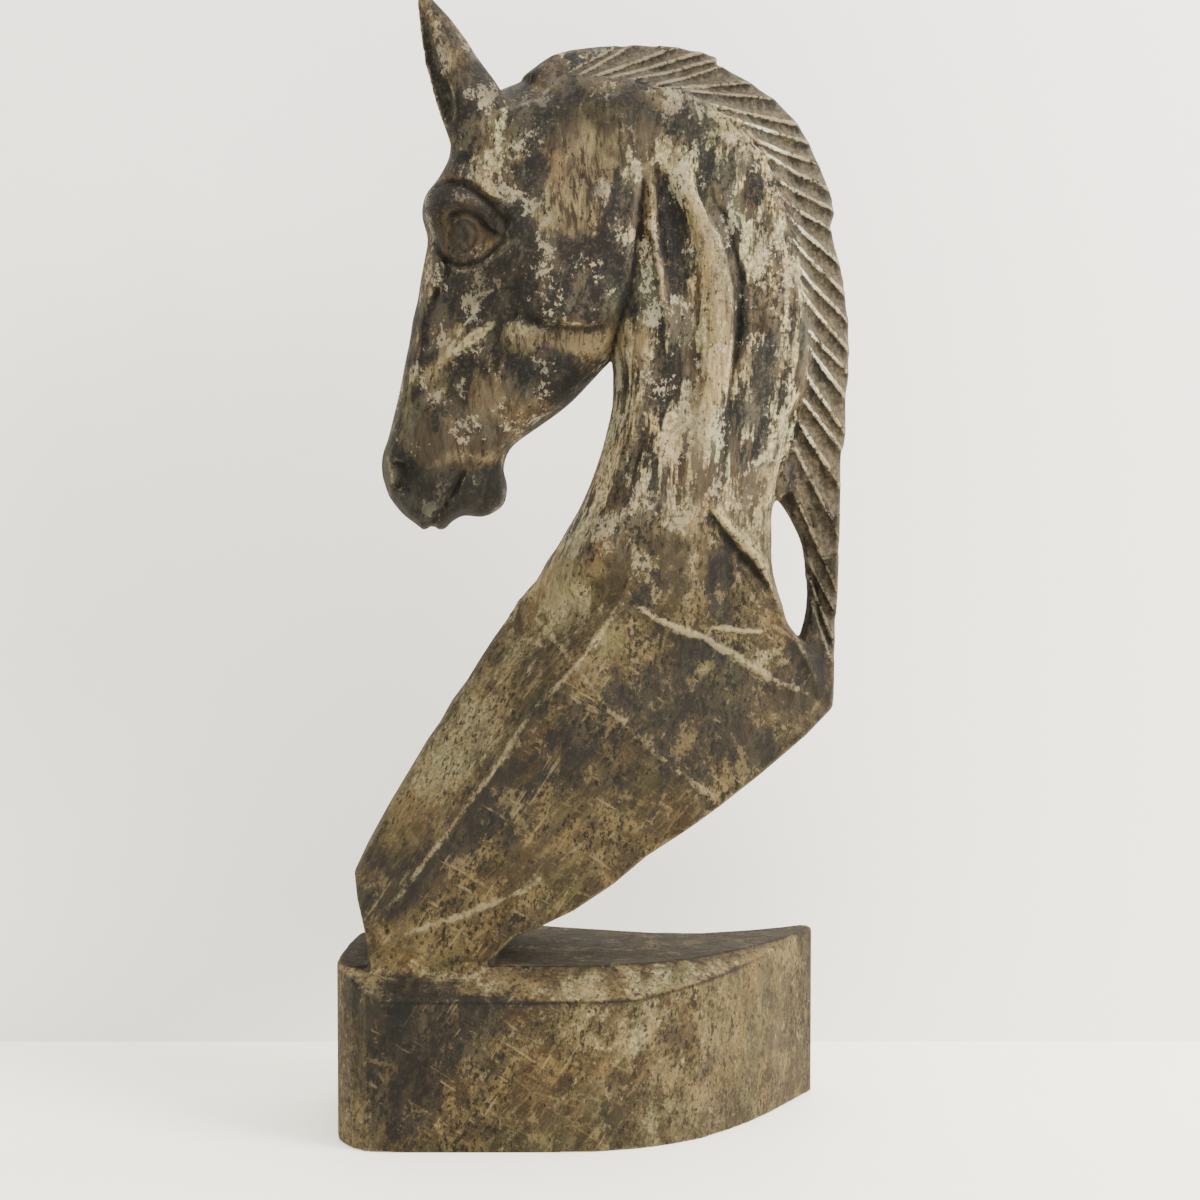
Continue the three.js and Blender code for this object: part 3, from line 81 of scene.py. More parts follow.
C['CHEST'] = np.array([-24.2, 302.9, -30.1, 292.2, -40.3, 281.5, -46.7, 270.8, -54.3, 260.1, -61.2, 249.3, -67.7, 238.6, -75.8,
    227.8, -81.7, 217.1, -89.3, 206.3, -95.7, 195.5, -102.2, 184.7, -108.7, 173.9, -114.7, 163.1, -120.6, 152.3,
    -127.7, 137.2, -125.6, 125.2, -119.2, 106.8, -116.1, 79.1]).reshape(-1, 2)
C['UNDER'] = np.array([-66.5, 79.1, -57.3, 88.9, -40, 106.3, -28.7, 110.6, -9.3, 119.8, 11.7, 133.9, 28.9, 148.5, 47.2, 160.4, 67.6,
    174.5, 88.5, 190.1, 113.1, 210.1, 127.5, 224.6]).reshape(-1, 2)
C['SHTOP'] = np.array([128.5, 233.2, 126.9, 249.3, 110.2, 262.2, 100, 281.5, 89.2, 302.9, 57.1, 313.6, 3.6, 319]).reshape(-1, 2)
C['M_IN'] = np.array([-15, 555.8, -7.8, 554.3, -1, 553.3, 8.8, 552.8, 16, 550.7, 28.4, 547.1, 35.6, 546.6, 46, 546.6, 54.2, 539.5,
    68.7, 532.3, 73.9, 523.6, 86.4, 514.8, 92.1, 502, 95.2, 492.2, 98.9, 484, 103.1, 470.1, 104.2, 458.3, 107.9,
    443.3, 108.4, 427.3, 112.1, 415.9, 110.6, 402, 109.6, 389, 106.6, 378.6, 103.5, 368.3, 100.4, 351.6, 99.5,
    329.8, 105.2, 317.3, 110, 297.5]).reshape(-1, 2)
C['M_OUT'] = np.array([7.3, 570, 17.8, 572.1, 41.9, 572.1, 56.1, 570, 64.5, 565.9, 65.6, 561.7, 81.4, 553.4, 93.5, 545.3, 105.6,
    532.5, 109.9, 523.7, 115.7, 512.2, 123.1, 499.1, 125.8, 488.1, 124.8, 477.7, 129.1, 460.4, 132.3, 444.6, 134,
    429.9, 134.6, 414.7, 134.7, 402.6, 133.7, 388.9, 132.7, 371.5, 131.7, 362, 129.6, 344.5, 128.2, 321.2, 126.7,
    293.7, 126.8, 278.8, 126.3, 263.9, 125.8, 250.1]).reshape(-1, 2)
C['PLAN_FRONT'] = np.array([-134.8, -28.7, -133.2, -38, -129.6, -45.8, -124.6, -53, -116.8, -59.6, -104.4, -61, -88.4, -61.4, -47.4,
    -61.4, -16.4, -61, 3.6, -59.7, 24.3, -54.3, 41.6, -46, 56.1, -36.2, 71.6, -20, 84.5, -3.9, 97.6, 16, 109.4,
    36.3, 116.6, 49, 123.1, 60]).reshape(-1, 2)
C['PLAN_BACK'] = np.array([123.6, 66, 122.1, 71, 117.6, 72.5, 105.6, 65, 87.6, 56.5, 59.6, 47.5, 31.6, 49.5, 3.6, 58.5, -16.4, 65,
    -33.4, 72, -56.4, 72.5, -96.4, 66.5, -120.4, 61, -127.4, 56, -131.4, 46, -133.9, 20, -135, -10]).reshape(-1, 2)
C['NECKFOOT'] = np.array([25, 260.1, 100.1, 249.3]).reshape(-1, 2)
# scattered values: X, Z, value
C['T_HEAD'] = np.array([-6.7, 535.3, 38, -47.8, 525.2, 33, -63.3, 509.8, 33, -71.1, 489.4, 35, -67, 471, 33, -45.4, 468.9, 40, -11.9,
    484.3, 44, 3.6, 453.5, 43, -22.2, 438.1, 43, -48, 427.9, 37, -71.3, 433, 30, -84.2, 422.7, 24, -84.3, 391.8,
    23, -61, 391.8, 29, -27.4, 402.1, 35, -1.6, 412.4, 36, -37.8, 381.5, 29, -97.3, 366, 22, -100, 345.3, 21,
    -79.3, 350.5, 25, -79.3, 329.8, 20, -56, 337.6, 18, -58.5, 360.9, 24]).reshape(-1, 3)
C['R_HEAD'] = np.array([-49, 545, 24, -72.7, 519, 14, -85.9, 487.6, 9, -86, 466.7, 11, -91.4, 440.4, 13, -99.5, 398.4, 13, -107.5,
    361.4, 11, -102.4, 335, 9, -81.2, 324.4, 7, -57.3, 329.7, 9, -46.7, 350.9, 8, -28.1, 377.3, 12, -1.7, 398.4,
    13, 16.8, 429.9, 5, 27.3, 466.7, 4, 29.9, 503.3, 5, 32.5, 545, 30, 3.6, 555.5, 40, -38.6, 466.7, 14]).reshape(-1, 3)
C['T_NECK'] = np.array([3.6, 535.3, 38, 44.8, 525.2, 40, 75.7, 504.7, 37, 55.1, 474, 43, 24.2, 438.1, 40, 65.6, 427.9, 44, 96.5,
    438.1, 36, 96.4, 479.2, 34, 106.9, 412.4, 31, 55.3, 376.3, 45, 24.3, 376.3, 41, 3.6, 345.3, 38, 96.8, 366, 29,
    91.7, 340.2, 26, 55.4, 335, 46, 14, 303.9, 45, -9.4, 288.3, 33, -27.6, 272.7, 18, -12, 257.1, 26, 24.4, 257.1,
    40, 86.6, 303.9, 24, 97.1, 277.9, 20]).reshape(-1, 3)
C['R_NECK'] = np.array([24.6, 555.5, 26, 56.2, 545, 26, 87.8, 519, 24, 106.3, 492.8, 20, 114.4, 450.9, 17, 117.2, 414.2, 14, 110.9,
    385.2, 8, 101.5, 358.8, 6, 96.9, 324.4, 7, 104.5, 271.3, 8, 8.9, 398.4, 17, 3.6, 361.4, 22, -12.3, 319.1, 26,
    -28.2, 292.6, 26, -38.9, 271.3, 24, -17.7, 255.4, 10, 3.6, 440.4, 20]).reshape(-1, 3)
C['T_MANE'] = np.array([-16.9, 559.8, 14, 3.6, 564.9, 15, 44.7, 564.9, 15, -17, 545.5, 22, 13.9, 548.6, 26, 55, 540.4, 28, 63.2,
    555.7, 18, 101.3, 529.2, 15, 75.6, 530.3, 27, 122.1, 486.8, 13, 93.7, 494.5, 25, 130.1, 433, 12, 106.8, 438.1,
    22, 130.3, 386.7, 12, 111.1, 397, 20, 126.9, 345.3, 11, 104.5, 360.9, 15, 126, 303.9, 11, 110.4, 314.3, 12,
    124.7, 262.3, 12, 110.6, 272.7, 12, 122.2, 236.3, 20, 75.7, 479.2, 22, 49.9, 504.7, 24, 65.6, 417.6, 20, 24.2,
    525.2, 24, -17, 532.8, 22]).reshape(-1, 3)
# shoulder facets: h = a X + b Z + c
C["PLANES"] = np.array([[0.90044, -0.65122, 225.03195], [-0.0667, 0.07998, 33.37618], [-0.25934, -0.0675, 68.66539], [-0.37044, -0.20737, 114.45505], [0.91541, -0.84417, 273.52088]])
# ear slices: height, middle X, half width, half thickness, distance from the middle plane
C['EARS'] = np.array([599.6, -89.2, 0.8, 1.8, 27.6, 596, -88, 2.5, 3.2, 27.5, 591.4, -85.8, 4.9, 4.6, 27.3, 583.7, -82.1, 8.4, 6.2,
    27, 573.4, -77.7, 11.8, 8, 26.5, 563.1, -73.7, 14.5, 9.5, 26, 552.9, -68.4, 17, 10.8, 25.2, 542.6, -63.7, 19,
    12, 24.4, 532.3, -59, 19.5, 12.5, 23.5, 520.9, -55.4, 19, 12, 22.5, 509.1, -53.6, 16.6, 10, 21.5]).reshape(-1, 5)
C["TOPZ"] = 93.0
# gouge lines: name, kind, depth, width, X Z..., fade in, fade out, closed
C["S"] = [
    ('cheek_rim', 'step', -3.8, 9, [-38.7, 432.3, -32, 429.7, -23.7, 426.2, -14.4, 424.1, -0.5, 423.6, 8.8, 426.7, 13.9, 433.8, 17.5, 443.6, 20.6, 457.9, 22.6, 472.3, 24.7, 493.7, 25.7, 511.6], 0.06, 0.15, False),
    ('cheek_tail', 'ridge', -2.2, 3, [-37.1, 431.8, -43.8, 428.7, -52.1, 422, -63.5, 412.3], 0.1, 0.5, False),
    ('socket_top', 'step', -3.4, 9, [-86.9, 485, -84.8, 492.2, -79.7, 497.3, -73, 498.8, -65.8, 496.8, -59.1, 492.7, -53, 487.6, -46.8, 481.5, -42.2, 476.3], 0.08, 0.06, False),
    ('lid', 'ridge', 2.2, 4.6, [-81.8, 480.9, -76.1, 487.6, -67.9, 489.6, -59.1, 485.5, -50.9, 478.9], 0.2, 0.2, False),
    ('lid_edge', 'step', -2.4, 3, [-75.6, 480.9, -71, 484, -65.3, 485, -60.2, 483, -56.6, 478.9, -52, 474.3, -45.8, 471.2], 0.08, 0.06, False),
    ('eye_ring', 'ridge', 1.2, 1.2, [-58.7, 471.3, -61.3, 464.6, -67.5, 461.9, -73.6, 464.6, -76.1, 471.3, -73.6, 477.9, -67.4, 480.7, -61.2, 477.9], 0, 0, True),
    ('iris_ring', 'ridge', -0.9, 1.1, [-60.5, 471, -62.5, 465.8, -67.4, 463.6, -72.3, 465.8, -74.4, 471, -72.3, 476.3, -67.4, 478.5, -62.5, 476.3], 0, 0, True),
    ('low_line', 'ridge', -1.9, 1.7, [-82.3, 477.9, -81.8, 470.7, -79.8, 464.6, -75.7, 459.5, -69.5, 456.9, -61.3, 457.4, -53.5, 461.5, -48.4, 466.6, -44.3, 472.3], 0.12, 0.1, False),
    ('low_rim', 'ridge', 1.5, 2.2, [-73.6, 453.3, -65.4, 453.3, -56.1, 456.4, -49.4, 461.5, -43.2, 468.7], 0.25, 0.15, False),
    ('front_of_eye', 'ridge', 1.4, 2.2, [-78.2, 480.4, -79.2, 473.8, -77.7, 467.1, -73.6, 462], 0.2, 0.2, False),
    ('tear', 'ridge', -2.4, 1.5, [-78.8, 462.5, -76.2, 456.4, -77.3, 451.8, -79.8, 447.2, -81.9, 441.5, -86.1, 431.8], 0.1, 0.4, False),
    ('nose_crease', 'ridge', -1.6, 3.4, [-78.8, 448.2, -81.9, 440, -87.1, 427.7, -92.3, 414.9], 0.15, 0.4, False),
    ('nose_edge', 'ridge', 1.2, 2.2, [-82.4, 452.3, -86.6, 438, -90.2, 422.6, -94.9, 406.1], 0.2, 0.4, False),
    ('crest1', 'ridge', 2.4, 3.2, [-76.9, 408.7, -65, 416.4, -52.1, 425.1], 0.25, 0.35, False),
    ('crest2', 'ridge', 2, 3, [-85.1, 402.5, -72.7, 417.4, -60.3, 432.8], 0.25, 0.35, False),
    ('crest_under', 'ridge', -2.2, 5, [-72.8, 401, -58.3, 412.3, -42.8, 417.4], 0.3, 0.3, False),
    ('nostril_rim', 'ridge', 1.8, 1.2, [-109.1, 360.3, -107.5, 355, -106.2, 348.7, -106.3, 342.9, -107.1, 337.6], 0.15, 0.15, False),
    ('nostril', 'ridge', -4.8, 4.2, [-101.5, 356, -101, 350.7, -101.5, 345, -103.6, 338.7], 0.12, 0.2, False),
    ('nostril_back', 'step', -2, 5, [-99.4, 335, -95.7, 343.4, -95.1, 351.8, -97.2, 358.6], 0.2, 0.2, False),
    ('mouth', 'ridge', -3, 1.3, [-86.3, 319.2, -82.6, 326.1, -78.9, 331.3, -75.2, 336.6, -71.5, 342.9, -68.9, 348.1, -65.7, 354.9], 0, 0.25, False),
    ('lip_low', 'ridge', 1.2, 2, [-76.3, 322.4, -72.1, 328.7, -67.8, 335, -64.7, 341.8], 0.1, 0.3, False),
    ('lip_top', 'ridge', 1.6, 2.4, [-88.9, 323.4, -84.7, 330.8, -79.9, 337.6, -75.7, 343.9, -72.5, 350.7], 0.1, 0.3, False),
    ('chin_line', 'ridge', -1.6, 3, [-49, 354.4, -55.3, 352.9, -61.6, 348.7], 0.2, 0.3, False),
    ('band', 'ridge', 2.6, 8, [41.6, 514.6, 48.8, 495.3, 56.1, 476.9, 61.3, 459.5, 63.9, 440.5, 64.5, 414.9, 61.4, 389.2, 56.3, 366, 49.1, 345.3, 42.9, 324.7], 0.08, 0.3, False),
    ('band_left', 'step', -2.4, 6, [34.9, 511.6, 39.1, 497.3, 45.3, 484.5, 49.4, 474.3, 52.5, 462.5, 54.1, 450.8, 54.1, 436.4, 54.7, 414.3, 55.7, 398.9, 52.7, 383, 50.1, 363.4, 46, 346.4], 0.08, 0.35, False),
    ('band_right', 'step', -3.4, 6.5, [56.3, 351.5, 61, 363.4, 68.2, 378.3, 72.7, 406.6, 74.2, 427.7, 72.6, 443.6, 69.5, 457.9, 65.9, 470.2, 59.7, 483, 55, 490.1, 52.4, 502.9, 47.8, 509.5], 0.3, 0.08, False),
    ('band_crease', 'ridge', -2, 1.8, [55, 497.3, 63.3, 486.6, 68.9, 477.4, 73.1, 461.5, 76.2, 447.2, 75.2, 430.3, 73.2, 406.6, 69.2, 381.4], 0.2, 0.3, False),
    ('strip', 'ridge', 2.4, 3.2, [29.8, 507, 30.3, 489.1, 30.9, 472.8, 33.5, 455.9, 36.6, 438, 37.6, 412.3, 35.6, 386.6], 0.1, 0.5, False),
    ('strip_crease', 'ridge', -2.6, 1.8, [32.4, 509.5, 33.4, 490.1, 34, 475.8, 37.1, 457.9, 39.7, 438], 0.1, 0.4, False),
    ('cheek_gap', 'ridge', -0.7, 1.4, [28.3, 509.5, 26.2, 491.7, 24.7, 472.8, 22.7, 457.4, 19.6, 442.1, 17, 434.9], 0.1, 0.4, False),
    ('front_crease', 'ridge', -2.4, 3, [29.4, 376.3, 24.3, 359.3, 13.9, 339.7, 3.6, 317.4], 0.3, 0.3, False),
    ('front_cord', 'ridge', 2, 5, [24.2, 402, 21.2, 376.3, 12.9, 353.1, 3.6, 332.4], 0.3, 0.3, False),
    ('back_cord', 'ridge', 2.6, 3.2, [62.5, 335.5, 66.1, 325.1, 76.1, 316.3, 91.2, 298, 100.7, 279.7, 107.5, 264, 122.3, 230], 0.1, 0.1, False),
    ('scoop_a', 'ridge', -1.3, 1.8, [58.7, 314.2, 61.3, 296, 61.9, 276.8], 0.2, 0.3, False),
    ('scoop_b', 'ridge', -1.1, 1.6, [67, 319.4, 70.1, 298.6, 71.2, 279.9], 0.2, 0.3, False),
    ('scoop_c', 'ridge', -1.1, 1.6, [75.4, 308, 78.1, 293.4, 78.6, 278.8], 0.2, 0.3, False),
    ('scoop_edge', 'step', -4.2, 7, [56.6, 331.9, 61.9, 326.2, 71.8, 313.7, 86.9, 296, 95.8, 283], 0.15, 0.2, False),
    ('short_line', 'ridge', 1.6, 1.4, [61.9, 268.5, 75.4, 266.9, 91, 265.8], 0.15, 0.15, False),
    ('ridge1', 'ridge', 0.9, 1.5, [-8.7, 250.5, -30.8, 227.3, -47.3, 202.6, -55.5, 191.2, -75.1, 164.9, -91.7, 143.1, -107.2, 123.4], 0.03, 0.05, False),
    ('ridge2', 'ridge', 0.8, 1.4, [-28.2, 271.4, -8.7, 250.3, 4.1, 233.8, 22.6, 213.7, 40.1, 198.7, 63.3, 180.6], 0.08, 0.05, False),
    ('ridge3', 'ridge', 1.1, 1.5, [22.7, 279.7, 38.8, 270.9, 60.6, 262.1, 73, 254.3, 85.5, 247, 97.9, 239.2, 114.5, 233], 0.05, 0.08, False),
    ('ridge4', 'ridge', 0.6, 1.5, [11.8, 277.7, -8.7, 250.5], 0.1, 0.05, False),
    ('ridge6', 'ridge', 0.7, 1.6, [-97.8, 111.8, -75.5, 118.5, -50.7, 128.4, -36.7, 134.1], 0.1, 0.1, False),
    ('strap_a', 'ridge', -2.2, 2.2, [116.2, 300.1, 119.5, 282.1, 121.1, 260.9, 121.2, 246.1], 0.2, 0.2, False),
    ('strap_b', 'ridge', -1.4, 1.4, [123.3, 287.4, 125.1, 260.8, 124.6, 237.4], 0.25, 0.2, False),
    ('gouge1', 'ridge', -3, 1.4, [107.3, 360.3, 110.5, 352.9, 115.3, 345.5], 0.1, 0.1, False),
    ('gouge2', 'ridge', -2.6, 1.2, [113.4, 332.4, 115.6, 325.5, 117.2, 319.2], 0.1, 0.1, False),
    ('chip1', 'ridge', -1.2, 1.3, [-33.5, 207.8, -27.3, 210.9, -20.6, 214], 0.2, 0.2, False),
    ('crack1', 'ridge', -1.4, 1, [54.3, 283.3, 53.8, 275.5, 52.8, 268.8], 0.2, 0.2, False),
    ('crack2', 'ridge', -1, 0.9, [95.9, 443.3, 103.2, 438.1, 110.5, 431.9], 0.2, 0.2, False),
]
C["B"] = [
    ('socket', -3.6, -66.9, 470.7, 14, 13, 0, 2),
    ('under_eye', -3, -47.9, 442.1, 20, 16, 0, 2),
    ('brow_mass', 2.6, -72.5, 491.2, 15, 9, -0.2, 2),
    ('eyeball', 4.6, -67.7, 471.7, 8.4, 9.2, 0, 4),
    ('nose_side', -2, -75.9, 386.6, 9, 16, 0.2, 2),
    ('chin', 1.4, -54.8, 338.6, 9, 9, 0, 2),
    ('hollow', -3.2, 42.7, 471.2, 6, 28, 0.12, 2),
    ('scoop', -3.2, 64.7, 294.6, 11, 25, 0.1, 2),
    ('bk_hollow', -2.5, 86.3, 345.3, 10, 22, 0, 2),
    ('knot1', -2.5, -106.8, 111.9, 3.2, 3.2, 0, 2),
]
# where paint and whitewash lie on the broad sides, and the darkening tone patches, partly the paint's own tone and
# partly painted shade; some dark patches are also painted shade, in the eye socket's corner and under its brow: kind,
# X, Z, radius, radius, turn, amount
PATCHES = [
    ('pale', -43.6, 541.1, 9.2, 7.2, 0, 0.8),
    ('pale', -59.1, 503.4, 12.3, 14.4, 15, 0.5),
    ('pale', -47.8, 514.6, 8.2, 13.4, 0, 0.35),
    ('dark', -64.2, 532.5, 8.2, 13.3, -20, 0.55),
    ('dark', -80.5, 552.8, 4.1, 20.5, -15, 0.45),
    ('tan', -72.3, 570.6, 6.2, 13.3, -30, 0.5),
    ('dark', -29.3, 529.9, 8.7, 13.3, 10, 0.9),
    ('dark', -33.4, 500.4, 6.7, 12.3, 0, 0.85),
    ('dark', -40.1, 481.5, 6.2, 9.3, 0, 0.6),
    ('tan', -2.6, 514.6, 18.5, 23.6, 15, 0.6),
    ('pale', -6.7, 504.4, 20.6, 25.7, 10, -0.12),
    ('tan', -17.0, 486.6, 15.4, 16.5, 20, 0.8),
    ('pale', 1.5, 525.8, 13.4, 13.4, 0, 0.35),
    ('dark', -51.0, 446.2, 22.7, 15.5, 10, 1.25),
    ('dark', -35.0, 463.6, 9.3, 15.4, 0, 0.7),
    ('dark', -67.5, 438.0, 10.3, 17.5, 15, 0.7),
    ('dark', -24.7, 457.4, 9.3, 13.4, 0, 0.7),
    ('dark', 12.9, 471.2, 8.7, 31.9, 6, 1.0),
    ('dark', -4.1, 435.4, 21.6, 9.3, 0, 0.95),
    ('dark', -14.4, 448.2, 15.5, 13.4, 0, 0.5),
    ('pale', -10.8, 443.1, 6.2, 7.2, 0, 0.35),
    ('pale', -68.4, 486.6, 17.5, 13.4, 20, -1.3),
    ('tan', -68.4, 486.6, 17.5, 15.4, 20, -0.5),
    ('dark', -71.0, 491.2, 15.4, 7.2, 10, 0.15),
    ('dark', -52.0, 482.5, 13.4, 4.1, 38, 1.3),
    ('pale', -66.9, 471.7, 15.4, 15.4, 0, -0.9),
    ('dark', -73.5, 496.3, 13.4, 2.1, 0, 0.8),
    ('dark', -81.8, 466.1, 3.1, 13.4, 0, 0.6),
    ('tan', -66.9, 471.7, 11.3, 11.3, 0, -0.5),
    ('dark', -66.9, 472.8, 6.2, 6.7, 0, 0.3),
    ('pale', -53.0, 494.2, 10.3, 2.6, 38, 0.9),
    ('pale', -47.9, 462.5, 8.2, 2.1, -40, 1.0),
    ('pale', -14.4, 419.5, 24.8, 5.7, 4, 0.12),
    ('pale', -37.6, 422.6, 6.2, 7.2, 0, 0.8),
    ('tan', 3.6, 414.9, 7.2, 5.2, 0, 0.6),
    ('dark', -24.8, 403.0, 20.6, 11.4, -12, 1.0),
    ('pale', -24.8, 401.0, 20.6, 12.4, 0, -0.15),
    ('dark', -11.9, 394.3, 8.3, 7.2, 0, 0.5),
    ('dark', -70.7, 392.8, 7.2, 10.3, 0, 0.6),
    ('tan', -48.0, 389.2, 17.6, 13.4, 0, 0.5),
    ('tan', -97.1, 386.6, 4.6, 25.8, 10, 0.5),
    ('tan', -72.7, 422.6, 4.6, 13.4, 28, 0.8),
    ('dark', -72.7, 422.6, 4.1, 9.3, 28, -0.3),
    ('dark', -85.1, 422.6, 4.6, 25.8, 8, 0.55),
    ('pale', -75.8, 428.7, 5.2, 13.4, 30, 0.45),
    ('dark', -79.2, 336.0, 17.6, 11.4, -15, 0.65),
    ('pale', -79.1, 345.3, 31.0, 25.9, 0, -0.35),
    ('dark', -75.0, 335.0, 26.9, 13.5, -10, 0.55),
    ('dark', -53.8, 338.1, 11.4, 9.3, 0, 1.7),
    ('dark', -101.4, 346.4, 5.2, 10.3, 0, 0.9),
    ('dark', 24.1, 529.9, 25.7, 10.3, 5, 0.9),
    ('dark', 63.2, 505.5, 13.4, 10.3, 30, 1.05),
    ('dark', 49.8, 529.9, 17.5, 6.2, 0, 0.55),
    ('dark', 8.7, 542.6, 20.5, 6.2, 0, 0.4),
    ('tan', 66.2, 528.9, 17.5, 7.2, 15, 1.0),
    ('pale', 66.2, 529.9, 13.3, 5.1, 15, 0.75),
    ('pale', 89.9, 514.6, 10.3, 13.4, -20, 0.6),
    ('dark', 41.2, 481.5, 4.6, 23.7, -6, 0.75),
    ('dark', 46.4, 443.1, 5.2, 30.9, -3, 0.6),
    ('dark', 36.6, 422.6, 4.6, 23.7, 6, 0.55),
    ('dark', 71.5, 476.3, 4.1, 25.7, -14, 0.75),
    ('dark', 77.8, 438.0, 3.6, 22.7, 0, 0.7),
    ('pale', 91.1, 471.2, 13.4, 23.7, 0, 0.55),
    ('pale', 82.0, 417.4, 9.3, 7.2, 0, 0.7),
    ('dark', 101.4, 472.8, 5.1, 12.3, 0, 0.35),
    ('dark', 87.2, 391.7, 15.5, 17.6, 15, 0.62),
    ('dark', 77.0, 366.0, 9.3, 14.5, 0, 0.4),
    ('pale', 101.6, 412.3, 5.2, 20.6, 0, 0.5),
    ('pale', 118.0, 432.8, 11.3, 46.4, 0, 0.28),
    ('dark', 34.6, 386.6, 5.2, 22.7, 5, 0.75),
    ('dark', 22.2, 371.1, 3.6, 22.7, 18, 0.8),
    ('dark', 15.0, 396.9, 3.1, 13.4, 4, 0.6),
    ('pale', 9.8, 360.8, 6.2, 31.0, 16, 0.8),
    ('pale', -9.3, 319.5, 7.2, 22.8, 35, 0.7),
    ('pale', 28.4, 350.5, 7.2, 25.9, 15, 0.6),
    ('pale', 46.0, 371.1, 7.2, 36.2, 8, 0.5),
    ('tan', -17.1, 298.8, 12.4, 17.6, 35, 0.8),
    ('pale', 96.6, 358.2, 4.1, 22.7, 12, 1.3),
    ('pale', 92.1, 332.4, 3.1, 15.5, 0, 0.9),
    ('pale', 80.2, 324.7, 11.4, 13.5, -30, 0.6),
    ('dark', 66.8, 295.7, 8.3, 17.6, 5, 0.6),
    ('tan', 55.4, 324.7, 10.4, 15.5, 0, 0.5),
    ('pale', 38.8, 340.2, 5.2, 13.4, 10, 0.4),
    ('dark', 55.5, 257.2, 13.5, 6.2, -20, 0.4),
    ('tan', 11.9, 264.0, 9.3, 6.7, 0, 1.1),
    ('dark', 24.3, 283.2, 7.3, 5.2, 0, 0.4),
    ('dark', 29.6, 236.4, 31.2, 20.8, 0, 0.42),
    ('dark', 65.9, 220.8, 31.2, 20.8, 30, 0.25),
    ('dark', 3.6, 179.0, 36.4, 26.0, 30, 0.15),
    ('dark', 55.6, 199.9, 36.4, 11.4, 32, 0.35),
    ('dark', 79.0, 207.8, 26.0, 7.3, 30, 0.75),
    ('dark', 102.3, 236.4, 11.4, 13.5, 0, 0.5),
    ('pale', 94.4, 254.6, 20.8, 4.2, -28, 0.5),
    ('dark', -9.4, 207.8, 18.7, 20.8, 0, 0.55),
    ('dark', -22.4, 228.6, 10.4, 10.4, 0, 0.4),
    ('tan', -17.2, 158.1, 27.1, 17.7, 0, 0.75),
    ('tan', 16.6, 179.0, 17.7, 13.5, 0, 0.6),
    ('dark', -87.6, 134.5, 12.5, 16.7, 40, 0.75),
    ('dark', -115.2, 137.1, 6.8, 11.5, 0, 0.95),
    ('dark', -64.1, 168.6, 6.2, 20.8, 40, 0.4),
    ('pale', -71.8, 205.2, 13.5, 41.6, 35, 0.55),
    ('tan', -17.1, 288.4, 20.7, 25.9, 30, 0.5),
    ('pale', -17.1, 288.4, 15.5, 22.8, 30, 0.35),
    ('dark', -17.1, 283.2, 20.7, 25.9, 30, -0.12),
    ('dark', -74.4, 205.2, 15.6, 41.6, 35, -0.12),
    ('tan', -95.3, 168.6, 13.5, 20.8, 35, 0.7),
    ('tan', -79.9, 113.5, 36.5, 6.3, -8, 0.6),
    ('dark', 125.5, 262.4, 3.1, 25.9, 0, 0.3),
    ('dark', 118.6, 304.0, 6.2, 31.1, 0, 0.55),
    ('dark', 116.7, 249.4, 4.2, 11.4, 0, 0.8),
    ('calm', -6.7, 501.9, 22.6, 31.9, 15, 0.75),
    ('calm', -17.0, 481.5, 15.4, 15.4, 0, 0.5),
    ('calm', -50.5, 450.8, 15.5, 11.3, 0, 0.4),
    ('calm', -79.0, 386.6, 15.5, 31.0, 10, 0.45),
    ('calm', -48.0, 386.6, 20.7, 15.5, 0, 0.3),
    ('calm', -73.3, 568.0, 8.2, 25.6, -25, 0.6),
    ('calm', -66.9, 478.9, 18.5, 19.5, 0, 1.2),
    ('calm', 55.1, 448.2, 7.2, 56.7, -8, 0.15),
    ('calm', 26.7, 534.0, 33.9, 15.4, 0, 0.7),
    ('calm', -54.6, 443.1, 25.8, 17.5, 0, 0.35),
    ('calm', -17.2, 158.1, 31.2, 26.0, 0, 0.35),
    ('calm', 29.6, 231.2, 31.2, 26.0, 0, 0.2),
    ('calm', 55.3, 335.0, 20.7, 15.5, 0, 0.35),
    ('tone_and_shade', 50.4, 218.2, 41.6, 28.6, 30, 0.2),
    ('tone_and_shade', -17.2, 179.0, 36.4, 57.2, 40, 0.13),
    ('tone_and_shade', -79.2, 340.2, 30.0, 23.8, 0, 0.38),
    ('tone_and_shade', -46.9, 443.1, 23.7, 20.6, 10, 0.28),
    ('tone_and_shade', 117.8, 236.4, 10.4, 20.8, 0, 0.2),
    ('tone_and_shade', -97.1, 386.6, 11.4, 36.1, 10, 0.12),
    ('tone_and_shade', -27.4, 399.4, 23.7, 17.5, 0, 0.15),
    ('pale', 87.2, 389.2, 15.5, 17.6, 15, 0.25),
    ('tone_and_shade', 66.8, 296.2, 13.5, 18.7, 10, 0.15),
    ('pale', 3.6, 304.0, 31.1, 25.9, 0, -0.12),
    ('pale', 112.8, 438.0, 8.2, 30.9, -8, 0.25),
    ('pale', 118.2, 386.6, 8.3, 25.8, 0, 0.25),
    ('pale', -47.8, 514.6, 5.1, 10.3, 0, 0.2),
    ('pale', -71.4, 335.0, 23.8, 20.7, 0, -0.5),
    ('pale', 65.2, 514.6, 20.5, 11.3, 25, 0.25),
    ('calm', -75.0, 334.0, 32.1, 20.7, 0, 0.9),
    ('pale', -75.0, 336.0, 32.1, 23.8, 0, -0.7),
    ('tan', -85.3, 349.5, 8.3, 3.6, -35, 0.8),
    ('tan', -72.9, 358.2, 7.2, 4.1, -20, 0.7),
    ('tan', -57.4, 357.2, 6.2, 3.6, 0, 0.5),
    ('pale', -83.3, 330.9, 12.4, 12.4, 0, -1.2),
    ('pale', -67.2, 371.1, 15.5, 11.4, 0, -0.5),
